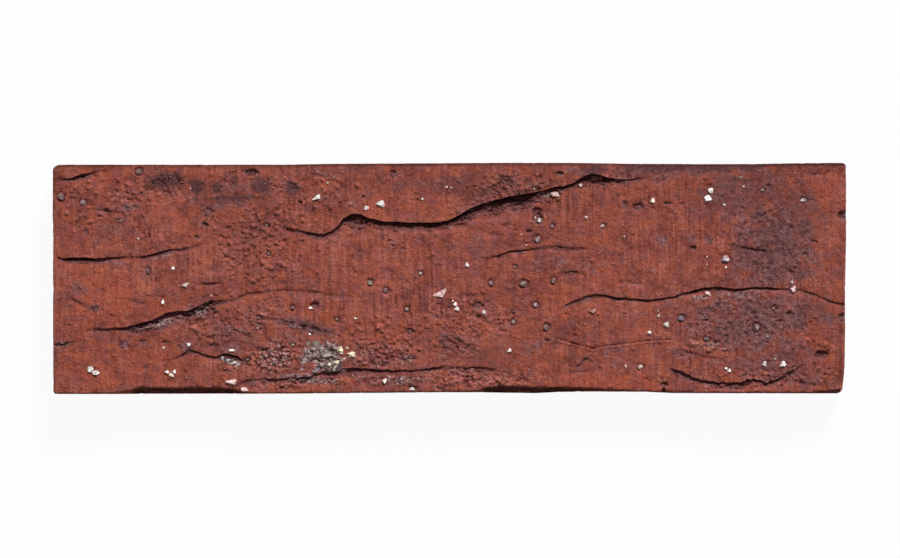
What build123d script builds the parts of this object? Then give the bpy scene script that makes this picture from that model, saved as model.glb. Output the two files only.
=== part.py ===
"""A fired clay brick slip: one thin slab, torn and folded on its face, keyed on its back.

The slip lies on its back. X runs along its length, Y across it towards its upper edge,
and Z out of the weathered face. The origin is the middle of the back face.
"""

from build123d import *
from math import cos, pi
import os

# The slab, in millimetres
length = 240.0
width = 70.0
thickness = 14.0

# Plan outline: each side bows a little, as fired clay does
top_bow = 0.3
bottom_bow = 0.8
end_bow = 0.5
corner_radius = 1.8
worn_corner_radius = 4.0
face_arris_radius = 0.9
back_arris_radius = 0.5

# Keying grooves along the back, wider at their root than at their mouth
groove_count = 6
groove_pitch = 10.0
groove_depth = 1.3
groove_mouth = 3.6
groove_root = 4.6

# Long low waves in the face, left by the wire that cut it. Their crests lean: a crest
# shifts along the slip by the lean times its way across. The face is drawn through a grid
# of points that runs past the slab by the overrun.
wave_height = 0.5
wave_length = 74.0
wave_width = 46.0
wave_lean = 0.6
wave_overrun = 6.0
wave_columns = 27
wave_rows = 10

# Folds: how deep the deepest is, how far its floor reaches before it is back at the
# face, how far the lip hangs over the floor, and how far the cutter clears the face
fold_depth = 2.4
fold_reach = 5.0
fine_fold_reach = 2.6
fold_overhang = 0.35
cutter_clearance = 0.6

# Torn stretches of the arris: how deep the deepest is, and how far it is set in
tear_depth = 3.8
tear_inset = 2.2

# Grit fired into the face and the pits that lost grit has left
grit_radius = 2.0
pebble_stand = 0.5
pit_depth = 0.45

# Each fold runs from left to right. A point is its share of the half length, its share
# of the half width, and its share of the fold depth, below nothing where the fold ends.
long_fold = [
    (-0.425, 0.440, -0.12),
    (-0.375, 0.417, 0.29),
    (-0.317, 0.380, 0.42),
    (-0.275, 0.469, 0.54),
    (-0.233, 0.554, 0.75),
    (-0.167, 0.491, 0.88),
    (-0.100, 0.483, 0.92),
    (-0.033, 0.486, 0.92),
    (0.033, 0.563, 0.96),
    (0.100, 0.663, 1.00),
    (0.183, 0.726, 0.92),
    (0.267, 0.789, 0.71),
    (0.317, 0.834, 0.58),
    (0.358, 0.903, 0.58),
    (0.408, 0.863, 0.42),
    (0.500, 0.869, -0.12),
]
left_fold = [
    (-0.988, 0.183, -0.12),
    (-0.942, 0.180, 0.62),
    (-0.883, 0.177, 0.58),
    (-0.825, 0.197, 0.33),
    (-0.775, 0.191, 0.25),
    (-0.717, 0.254, 0.42),
    (-0.667, 0.277, 0.21),
    (-0.600, 0.311, -0.12),
]
sweeping_fold = [
    (-0.917, -0.446, -0.12),
    (-0.858, -0.431, 0.50),
    (-0.792, -0.397, 0.67),
    (-0.717, -0.303, 0.75),
    (-0.650, -0.251, 0.62),
    (-0.583, -0.194, 0.42),
    (-0.517, -0.131, 0.25),
    (-0.450, -0.094, 0.17),
    (-0.367, -0.094, 0.29),
    (-0.300, -0.114, 0.21),
    (-0.225, -0.143, -0.12),
]
right_fold = [
    (0.275, -0.263, -0.12),
    (0.317, -0.186, 0.38),
    (0.358, -0.131, 0.50),
    (0.417, -0.154, 0.50),
    (0.500, -0.180, 0.54),
    (0.575, -0.151, 0.46),
    (0.650, -0.080, 0.67),
    (0.725, -0.080, 0.54),
    (0.800, -0.080, 0.58),
    (0.875, -0.109, 0.33),
    (0.942, -0.194, 0.25),
    (1.017, -0.234, 0.25),
]
low_fold = [
    (-0.550, -0.926, -0.12),
    (-0.517, -0.866, 0.33),
    (-0.450, -0.854, 0.46),
    (-0.367, -0.834, 0.58),
    (-0.292, -0.789, 0.71),
    (-0.217, -0.780, 0.67),
    (-0.133, -0.780, 0.58),
    (-0.050, -0.777, 0.50),
    (0.025, -0.766, 0.46),
    (0.100, -0.763, 0.33),
    (0.167, -0.814, -0.12),
]
corner_fold = [
    (0.558, -0.809, -0.12),
    (0.600, -0.837, 0.42),
    (0.658, -0.889, 0.58),
    (0.733, -0.889, 0.58),
    (0.800, -0.889, 0.54),
    (0.850, -0.823, 0.38),
    (0.900, -0.743, -0.12),
]
middle_fold = [
    (0.117, 0.197, -0.12),
    (0.167, 0.251, 0.29),
    (0.233, 0.266, 0.29),
    (0.300, 0.266, 0.21),
    (0.367, 0.257, -0.12),
]
hollow_fold = [
    (-0.708, -0.711, -0.12),
    (-0.658, -0.626, 0.38),
    (-0.608, -0.651, 0.25),
    (-0.558, -0.646, 0.50),
    (-0.492, -0.749, -0.12),
]
lower_crease = [
    (-0.467, -0.360, -0.12),
    (-0.408, -0.354, 0.25),
    (-0.342, -0.420, 0.29),
    (-0.275, -0.480, -0.12),
]

# Torn stretches: share of the half side, share of the tear inset, share of the depth
left_lower_tear = [
    (-0.920, 0.10, 0.15),
    (-0.840, 0.35, 0.35),
    (-0.780, 0.95, 0.85),
    (-0.680, 1.00, 1.00),
    (-0.580, 0.90, 0.85),
    (-0.500, 0.10, 0.15),
]
right_lower_tear = [
    (0.070, 0.10, 0.15),
    (0.130, 1.00, 0.85),
    (0.200, 0.95, 0.95),
    (0.300, 0.65, 0.70),
    (0.400, 0.10, 0.15),
]
end_tear = [
    (-0.900, 0.90, 0.50),
    (-0.750, 1.00, 0.60),
    (-0.600, 0.70, 0.40),
    (-0.420, 0.10, 0.10),
]

# Pebbles and pits: share of the half length, of the half width, and of the grit radius
pebbles = [
    (-0.980, 0.710, 0.60),
    (-0.925, 0.654, 0.55),
    (-0.783, 0.934, 0.55),
    (0.222, 0.526, 0.95),
    (0.222, 0.340, 0.55),
    (0.694, 0.166, 0.75),
    (0.186, -0.043, 0.75),
    (0.103, -0.040, 0.45),
    (-0.023, -0.120, 0.75),
    (0.243, -0.420, 0.55),
    (0.580, -0.343, 0.70),
    (0.477, -0.763, 0.50),
    (-0.892, -0.806, 0.75),
]
pits = [
    (-0.500, 0.905, 0.60),
    (-0.617, 0.466, 0.55),
    (-0.138, 0.877, 0.70),
    (0.473, 0.606, 0.75),
    (0.613, 0.257, 0.50),
    (-0.100, -0.460, 0.70),
    (0.070, -0.250, 0.80),
    (0.940, -0.666, 0.90),
]


def face_height(x, y):
    """Height of the face before it was torn: long slow waves, highest at the thickness."""
    along = cos(2 * pi * (x + wave_lean * y) / wave_length)
    across = cos(2 * pi * y / wave_width)
    return thickness - wave_height * (2 - along - across) / 4


def face_points():
    """The grid of points, a little larger than the slab, that the face is drawn through."""
    step_x = (length + 2 * wave_overrun) / (wave_columns - 1)
    step_y = (width + 2 * wave_overrun) / (wave_rows - 1)
    rows = []
    for i in range(wave_columns):
        x = -length / 2 - wave_overrun + i * step_x
        ys = [-width / 2 - wave_overrun + j * step_y for j in range(wave_rows)]
        rows.append([Vector(x, y, face_height(x, y)) for y in ys])
    return rows


def cut_fold(route, reach):
    """Opens a fold: a lip along the route, and a floor that climbs back to the face below it."""
    sections = []
    for along, across, share in route:
        x, y = along * length / 2, across * width / 2
        z = face_height(x, y)
        with BuildSketch(Plane.YZ.offset(x)) as section:
            Polygon(
                (y, z + cutter_clearance),
                (y + fold_overhang, z - share * fold_depth),
                (y - reach, z + cutter_clearance),
                align=None,
            )
        sections.append(section.sketch.face())
    loft(sections=sections, mode=Mode.SUBTRACT)


def cut_tear(route, half_side, edge, outward):
    """Takes an arris away along one side: a slope that falls outwards from a ragged lip."""
    sections = []
    for along, inset_share, depth_share in route:
        origin = edge(along * half_side)
        z = face_height(origin.X, origin.Y)
        low = z - depth_share * tear_depth
        plane = Plane(origin=origin, x_dir=outward, z_dir=outward.cross(Vector(0, 0, 1)))
        with BuildSketch(plane) as section:
            Polygon(
                (-inset_share * tear_inset, z + cutter_clearance),
                (-inset_share * tear_inset, z),
                (0, low),
                (tear_inset, low),
                (tear_inset, z + cutter_clearance),
                align=None,
            )
        sections.append(section.sketch.face())
    loft(sections=sections, mode=Mode.SUBTRACT)


# The plan outline: four bowed sides, three neat corners and a worn one
with BuildSketch() as outline:
    half_length, half_width = length / 2, width / 2
    with BuildLine():
        top_left = (-half_length + end_bow, half_width - top_bow)
        top_right = (half_length - end_bow, half_width - top_bow)
        low_right = (half_length - end_bow, -half_width)
        low_left = (-half_length + end_bow, -half_width)
        ThreePointArc(top_left, (0, half_width), top_right)
        ThreePointArc(top_right, (half_length, 0), low_right)
        ThreePointArc(low_right, (0, -half_width + bottom_bow), low_left)
        ThreePointArc(low_left, (-half_length, 0), top_left)
    make_face()
    neat_corners = outline.vertices().sort_by(lambda v: v.X - v.Y)[:-1]
    fillet(neat_corners, corner_radius)
    worn_corner = outline.vertices().sort_by(lambda v: v.X - v.Y)[-1]
    fillet(worn_corner, worn_corner_radius)

with BuildPart() as brick_slip:
    # The clay column, cut to length, with its back arrises rubbed
    extrude(outline.sketch, amount=thickness + wave_height)
    fillet(brick_slip.faces().sort_by(Axis.Z)[0].edges(), back_arris_radius)

    # The waves of the face, and its rounded arris
    waves = Face.make_surface_from_array_of_points(face_points())
    extrude(waves, amount=thickness, dir=(0, 0, 1), mode=Mode.SUBTRACT)
    fillet(brick_slip.faces().sort_by(Axis.Z)[-1].edges(), face_arris_radius)

    # Folds and torn arrises
    for route in (long_fold, left_fold, sweeping_fold, right_fold, low_fold, corner_fold):
        cut_fold(route, fold_reach)
    for route in (middle_fold, hollow_fold, lower_crease):
        cut_fold(route, fine_fold_reach)
    for route in (left_lower_tear, right_lower_tear):
        cut_tear(route, half_length, lambda x: Vector(x, -half_width, 0), Vector(0, -1, 0))
    cut_tear(end_tear, half_width, lambda y: Vector(half_length, y, 0), Vector(1, 0, 0))

    # Grit that stands out of the face, and pits where it has fallen out. The balls' poles
    # lie level, clear of the face.
    for along, across, share in pebbles:
        x, y, radius = along * half_length, across * half_width, share * grit_radius
        with Locations((x, y, face_height(x, y) + pebble_stand - radius)):
            Sphere(radius, rotation=(90, 0, 0))
    for along, across, share in pits:
        x, y, radius = along * half_length, across * half_width, share * grit_radius
        with Locations((x, y, face_height(x, y) + radius - pit_depth)):
            Sphere(radius, rotation=(90, 0, 0), mode=Mode.SUBTRACT)

    # Keying grooves, drawn across the column and cut right along it
    with BuildSketch(Plane.YZ.offset(-length)) as grooves:
        with GridLocations(groove_pitch, 0, groove_count, 1):
            Polygon(
                (-groove_mouth / 2, 0),
                (-groove_root / 2, groove_depth),
                (groove_root / 2, groove_depth),
                (groove_mouth / 2, 0),
                align=None,
            )
    extrude(amount=2 * length, mode=Mode.SUBTRACT)

brick_slip.part.label = "brick_slip"
os.makedirs("parts", exist_ok=True)
export_step(brick_slip.part, "parts/brick_slip.step")
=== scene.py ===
# %% [markdown]
# # A clinker brick slip
# The object is one thin piece of fired clay. Its face was torn by hand before it was fired,
# so it has folds with overhanging lips, pits, grit and burnt patches. We load the measured
# model first, because its box sets the size of all that follows. Places on the face are in
# millimetres from its middle, x to the right and y up.

# %% Load the measured model
import math

import bpy
import numpy as np
from mathutils import Euler, Matrix, Vector


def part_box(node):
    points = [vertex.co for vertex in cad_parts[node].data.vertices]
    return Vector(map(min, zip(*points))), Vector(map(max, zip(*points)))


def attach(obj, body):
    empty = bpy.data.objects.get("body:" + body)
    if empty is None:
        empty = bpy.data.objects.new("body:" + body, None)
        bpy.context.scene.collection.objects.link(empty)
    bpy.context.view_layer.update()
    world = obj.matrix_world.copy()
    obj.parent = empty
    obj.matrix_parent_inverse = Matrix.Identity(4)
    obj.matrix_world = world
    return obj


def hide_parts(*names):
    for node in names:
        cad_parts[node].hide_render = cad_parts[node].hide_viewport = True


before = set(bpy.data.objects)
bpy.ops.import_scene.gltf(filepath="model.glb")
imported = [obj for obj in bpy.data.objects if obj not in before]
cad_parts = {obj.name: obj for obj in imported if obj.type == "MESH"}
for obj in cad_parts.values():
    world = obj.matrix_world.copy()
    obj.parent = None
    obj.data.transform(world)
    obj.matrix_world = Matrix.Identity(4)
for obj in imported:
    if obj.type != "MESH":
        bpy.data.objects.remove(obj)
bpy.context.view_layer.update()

MM = 0.001
box_low, box_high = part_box("brick_slip")
half_length = (box_high.x - box_low.x) / 2 / MM
half_width = (box_high.y - box_low.y) / 2 / MM
stand = box_high.z / MM
print("half length, half width and height in mm:", half_length, half_width, stand)

# %% [markdown]
# ## Noise and soft steps
# Fired clay is irregular at every scale. All that irregularity comes from one function:
# noise on a lattice of random slopes. The seed is given, so that the slip is the same
# each time the lesson runs. Several layers of it, each finer and weaker, are called octaves.

# %% Noise, octaves and a soft step
LATTICE = 256
NOISE_GAIN = 1.5


def noise(x, y, seed):
    """Smooth noise from about -1 to 1, with one hill or hollow for each unit of x and y."""
    turn = np.random.default_rng(seed).uniform(0, 2 * math.pi, (LATTICE, LATTICE))
    cell_x, cell_y = np.floor(x).astype(int), np.floor(y).astype(int)
    total = np.zeros_like(x)
    for i in (0, 1):
        for j in (0, 1):
            angle = turn[(cell_x + i) % LATTICE, (cell_y + j) % LATTICE]
            dx, dy = x - cell_x - i, y - cell_y - j
            weight = fade(1 - abs(dx)) * fade(1 - abs(dy))
            total += weight * (np.cos(angle) * dx + np.sin(angle) * dy)
    return NOISE_GAIN * total


def fade(t):
    """Climbs from 0 to 1 as t does, and is level at both ends."""
    return t * t * (3 - 2 * t)


def soft_step(start, end, value):
    """Climbs from 0 at start to 1 at end, with no corner at either."""
    return fade(np.clip((value - start) / (end - start), 0, 1))


def octaves(x, y, size, seed, count=3, fall=0.5):
    """Noise whose largest hills are size mm across, with finer and weaker layers on them."""
    return sum(fall ** k * noise(x * 2 ** k / size, y * 2 ** k / size, seed + k) for k in range(count))


def facets(x, y, size, seed):
    """Broken stone: every cell of an uneven grid is a flat facet with a height and tilt of its own."""
    draws = np.random.default_rng(seed).uniform(-0.5, 0.5, (5, LATTICE, LATTICE))
    x, y = x / size, y / size
    nearest, result = np.full_like(x, 9.0), np.zeros_like(x)
    for i in (-1, 0, 1):
        for j in (-1, 0, 1):
            cell_x, cell_y = np.floor(x).astype(int) + i, np.floor(y).astype(int) + j
            shift_x, shift_y, height, tilt_x, tilt_y = draws[:, cell_x % LATTICE, cell_y % LATTICE]
            dx, dy = x - cell_x - 0.5 - shift_x, y - cell_y - 0.5 - shift_y
            away = np.hypot(dx, dy)
            result = np.where(away < nearest, height + tilt_x * dx + tilt_y * dy, result)
            nearest = np.minimum(nearest, away)
    return result


sample = noise(np.linspace(0, 99, 5000), np.linspace(3, 40, 5000), 1)
print("noise runs from", sample.min().round(2), "to", sample.max().round(2))

# %% [markdown]
# ## The rough slab
# A slip is a slab with one worked face. We could subdivide a cube, but its back would then be
# as fine as its face. So the face is a grid, and its border is extruded down ring by ring to
# the back, where one flat face closes it. The points near the face's lips can be moved later.

# %% Add the grid and pull its border down to the back
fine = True
STEP = 0.27 if fine else 0.5
THICKNESS = 14.0
RINGS = (0.5, 1.2, 2.2, 3.5, 5.0, 7.0, 9.0, 11.0, 12.6, 13.6, THICKNESS)


def deselect():
    """Operators act on all that is selected, so each step starts with nothing selected."""
    if bpy.context.mode != "OBJECT":
        bpy.ops.object.mode_set(mode="OBJECT")
    bpy.ops.object.select_all(action="DESELECT")


def pick(piece):
    """Makes a piece the only one that the next operator acts on."""
    deselect()
    piece.select_set(True)
    bpy.context.view_layer.objects.active = piece


def finish_place(piece):
    """Puts a piece's place, turn and size into its mesh."""
    pick(piece)
    bpy.ops.object.transform_apply(location=True, rotation=True, scale=True)


deselect()
columns, rows = round(2 * half_length / STEP), round(2 * half_width / STEP)
bpy.ops.mesh.primitive_grid_add(x_subdivisions=columns, y_subdivisions=rows, size=2)
slip = bpy.context.object
slip.name = "slip"
slip.scale = (half_length * MM, half_width * MM, 1)
slip.location = (0, 0, THICKNESS * MM)
finish_place(slip)
bpy.ops.object.mode_set(mode="EDIT")
bpy.ops.mesh.select_all(action="DESELECT")
bpy.ops.mesh.select_mode(type="EDGE")
bpy.ops.mesh.select_non_manifold(extend=False, use_wire=False, use_multi_face=False,
                                 use_non_contiguous=False, use_verts=False)
above = 0.0
for ring in RINGS:
    bpy.ops.mesh.extrude_edges_move(TRANSFORM_OT_translate={"value": (0, 0, -(ring - above) * MM)})
    above = ring
bpy.ops.mesh.edge_face_add()
bpy.ops.mesh.select_all(action="SELECT")
bpy.ops.mesh.normals_make_consistent(inside=False)
bpy.ops.object.mode_set(mode="OBJECT")
print("slab:", len(slip.data.vertices), "points,", len(slip.data.polygons), "faces")

# %% [markdown]
# ## The plan outline
# The real slip isn't a true rectangle: its sides waver and each corner is rounded differently.
# A Boolean could trim the grid, but it would leave slivers along the border. So we read the
# points into arrays in millimetres and squeeze the grid into the outline: near a corner a
# square becomes a quarter disc, which keeps the faces regular. A side is a list of places
# along it, each with how far the side lies inside the box there.

# %% Read the points into arrays
points = np.empty(len(slip.data.vertices) * 3)
slip.data.vertices.foreach_get("co", points)
points = points.reshape(-1, 3) / MM
X, Y, level = points.T.copy()
on_face = level > THICKNESS - 0.1
share_down = 1 - level / THICKNESS
middle_y = (box_high.y + box_low.y) / 2 / MM
print("points on the face:", on_face.sum(), "and down the sides:", (~on_face).sum())

# %% The sides and corners of the outline
top_side = ((-120, 0.55), (-50, 0.55), (-36, 0.3), (0, 0.1), (14, 0.0), (36, 0.0), (52, 0.25), (75, 0.4),
            (93, 0.35), (104, 0.1), (120, 0.0))
bottom_side = ((-120, 0.0), (-60, 0.1), (-42, 0.2), (-17, 0.4), (0, 0.55), (9, 0.55), (17, 0.35),
               (26, 0.25), (34, 0.6), (43, 0.75), (60, 0.7), (68, 0.3), (120, 0.2))
left_side = ((-35, 0.2), (-15, 0.15), (10, 0.1), (20, 0.0), (35, 0.0))
right_side = ((-35, 1.3), (-33, 1.1), (-30, 0.7), (-26, 0.4), (-14, 0.3), (-7, 0.4), (5, 0.2), (15, 0.0),
              (35, 0.1))
TOP_LEFT, TOP_RIGHT, BOTTOM_LEFT, BOTTOM_RIGHT = 2.0, 1.3, 0.9, 1.8


def side_limits(x, y):
    """How far the slip reaches at a place: to the left or right end, to its top and to its bottom."""
    inset = [np.interp(place, *np.array(side).T) for place, side in
             ((y, left_side), (y, right_side), (x, top_side), (x, bottom_side))]
    end = half_length - np.where(x < 0, inset[0], inset[1])
    return end, middle_y + half_width - inset[2], middle_y - half_width + inset[3]


def corner_radius(x, y):
    return np.where(y > 0, np.where(x < 0, TOP_LEFT, TOP_RIGHT), np.where(x < 0, BOTTOM_LEFT, BOTTOM_RIGHT))


def edge_distance(x, y):
    """How far a point is inside the outline."""
    end, top, bottom = side_limits(x, y)
    inside_x, inside_y = end - abs(x), np.minimum(top - y, y - bottom)
    radius = corner_radius(x, y)
    in_corner = (inside_x < radius) & (inside_y < radius)
    round_corner = radius - np.hypot(radius - inside_x, radius - inside_y)
    return np.where(in_corner, round_corner, np.minimum(inside_x, inside_y))


print("the middle of the face is", edge_distance(np.array(0.0), np.array(0.0)).round(1), "mm from a side")

# %% Squeeze the grid into the outline
corner = corner_radius(X, Y)
over_x = np.clip((abs(X) - (half_length - corner)) / corner, 0, 1)
over_y = np.clip((abs(Y) - (half_width - corner)) / corner, 0, 1)
round_x = over_x * np.sqrt(1 - over_y ** 2 / 2)
round_y = over_y * np.sqrt(1 - over_x ** 2 / 2)
X = X + np.sign(X) * corner * (round_x - over_x)
Y = Y + np.sign(Y) * corner * (round_y - over_y)
end, top, bottom = side_limits(X, Y)
X = X * end / half_length
Y = np.where(Y > 0, Y * top / half_width, Y * -bottom / half_width)
edge = np.clip(edge_distance(X, Y), 0, None)
print("outline: the border lies within", edge[~on_face].max().round(3), "mm of it")

# %% [markdown]
# ## Waves, dents and drag lines
# The face starts as the column's skin: long low waves, dents where it was handled, and fine
# lines across it, where the wire dragged grit along. We could sculpt them by hand, but sums of
# noise are quicker and reach down to the sand. All heights are kept in one array, Z.

# %% Waves, dents and sand
WAVE_HEIGHT, WAVE_LENGTH, WAVE_WIDTH, WAVE_LEAN = 0.5, 74.0, 46.0, 0.6

waves = 2 - np.cos(2 * math.pi * (X + WAVE_LEAN * Y) / WAVE_LENGTH) - np.cos(2 * math.pi * Y / WAVE_WIDTH)
Z = THICKNESS - WAVE_HEIGHT * waves / 4
dents = octaves(X, Y, 21.0, 10)
lumps = octaves(X, Y * 1.3, 5.5, 20)
grain = octaves(X, Y, 1.5, 30, count=2, fall=0.8)
sand = np.clip(octaves(X, Y, 1.1, 35, count=2, fall=0.8) - 0.35, 0, 1)
drag = noise(X / 1.2, Y / 26.0, 40) + 0.8 * noise(X / 0.7, Y / 17.0, 41)
Z += 0.16 * dents + 0.10 * lumps
broad = Z.copy()
Z += 0.07 * octaves(X, Y * 1.2, 2.6, 25, count=2) + 0.05 * grain + 0.22 * sand
print("the waves and sand span", np.ptp(Z[on_face]).round(2), "mm")

# %% [markdown]
# ## Masks
# A mask says how much of a stain or a texture each point has. The shapes and the finish read
# the same masks, so that the colour of a feature always sits on its shape. Each is drawn as
# soft ovals with tattered borders, each given by x, y, half the length and half the width in
# mm, the strength, and for some their turn in degrees. Folds, pits and edges add to them later.

# %% A mask, and an oval added to it
tatters = octaves(X, Y, 5.0, 45, count=4, fall=0.75)
# Besides stains, the burn mask takes painted shade from the folds, moats and tears below, and the hollow
# mask made at the end is painted shade.
masks = {name: np.zeros_like(X) for name in ("burn_and_shade", "soot", "orange", "rubble", "slag", "drag", "pale")}


def spread(name, x, y, half_x, half_y, strength, turn=0.0):
    """Adds a soft oval patch to a mask, turned by some degrees."""
    c, s = math.cos(math.radians(turn)), math.sin(math.radians(turn))
    dx, dy = X - x, Y - y
    oval = np.hypot((c * dx + s * dy) / half_x, (c * dy - s * dx) / half_y)
    masks[name] = np.maximum(masks[name], strength * (1 - soft_step(0.4, 1.15, oval + 0.3 * tatters)))


print("masks:", ", ".join(masks))

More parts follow.
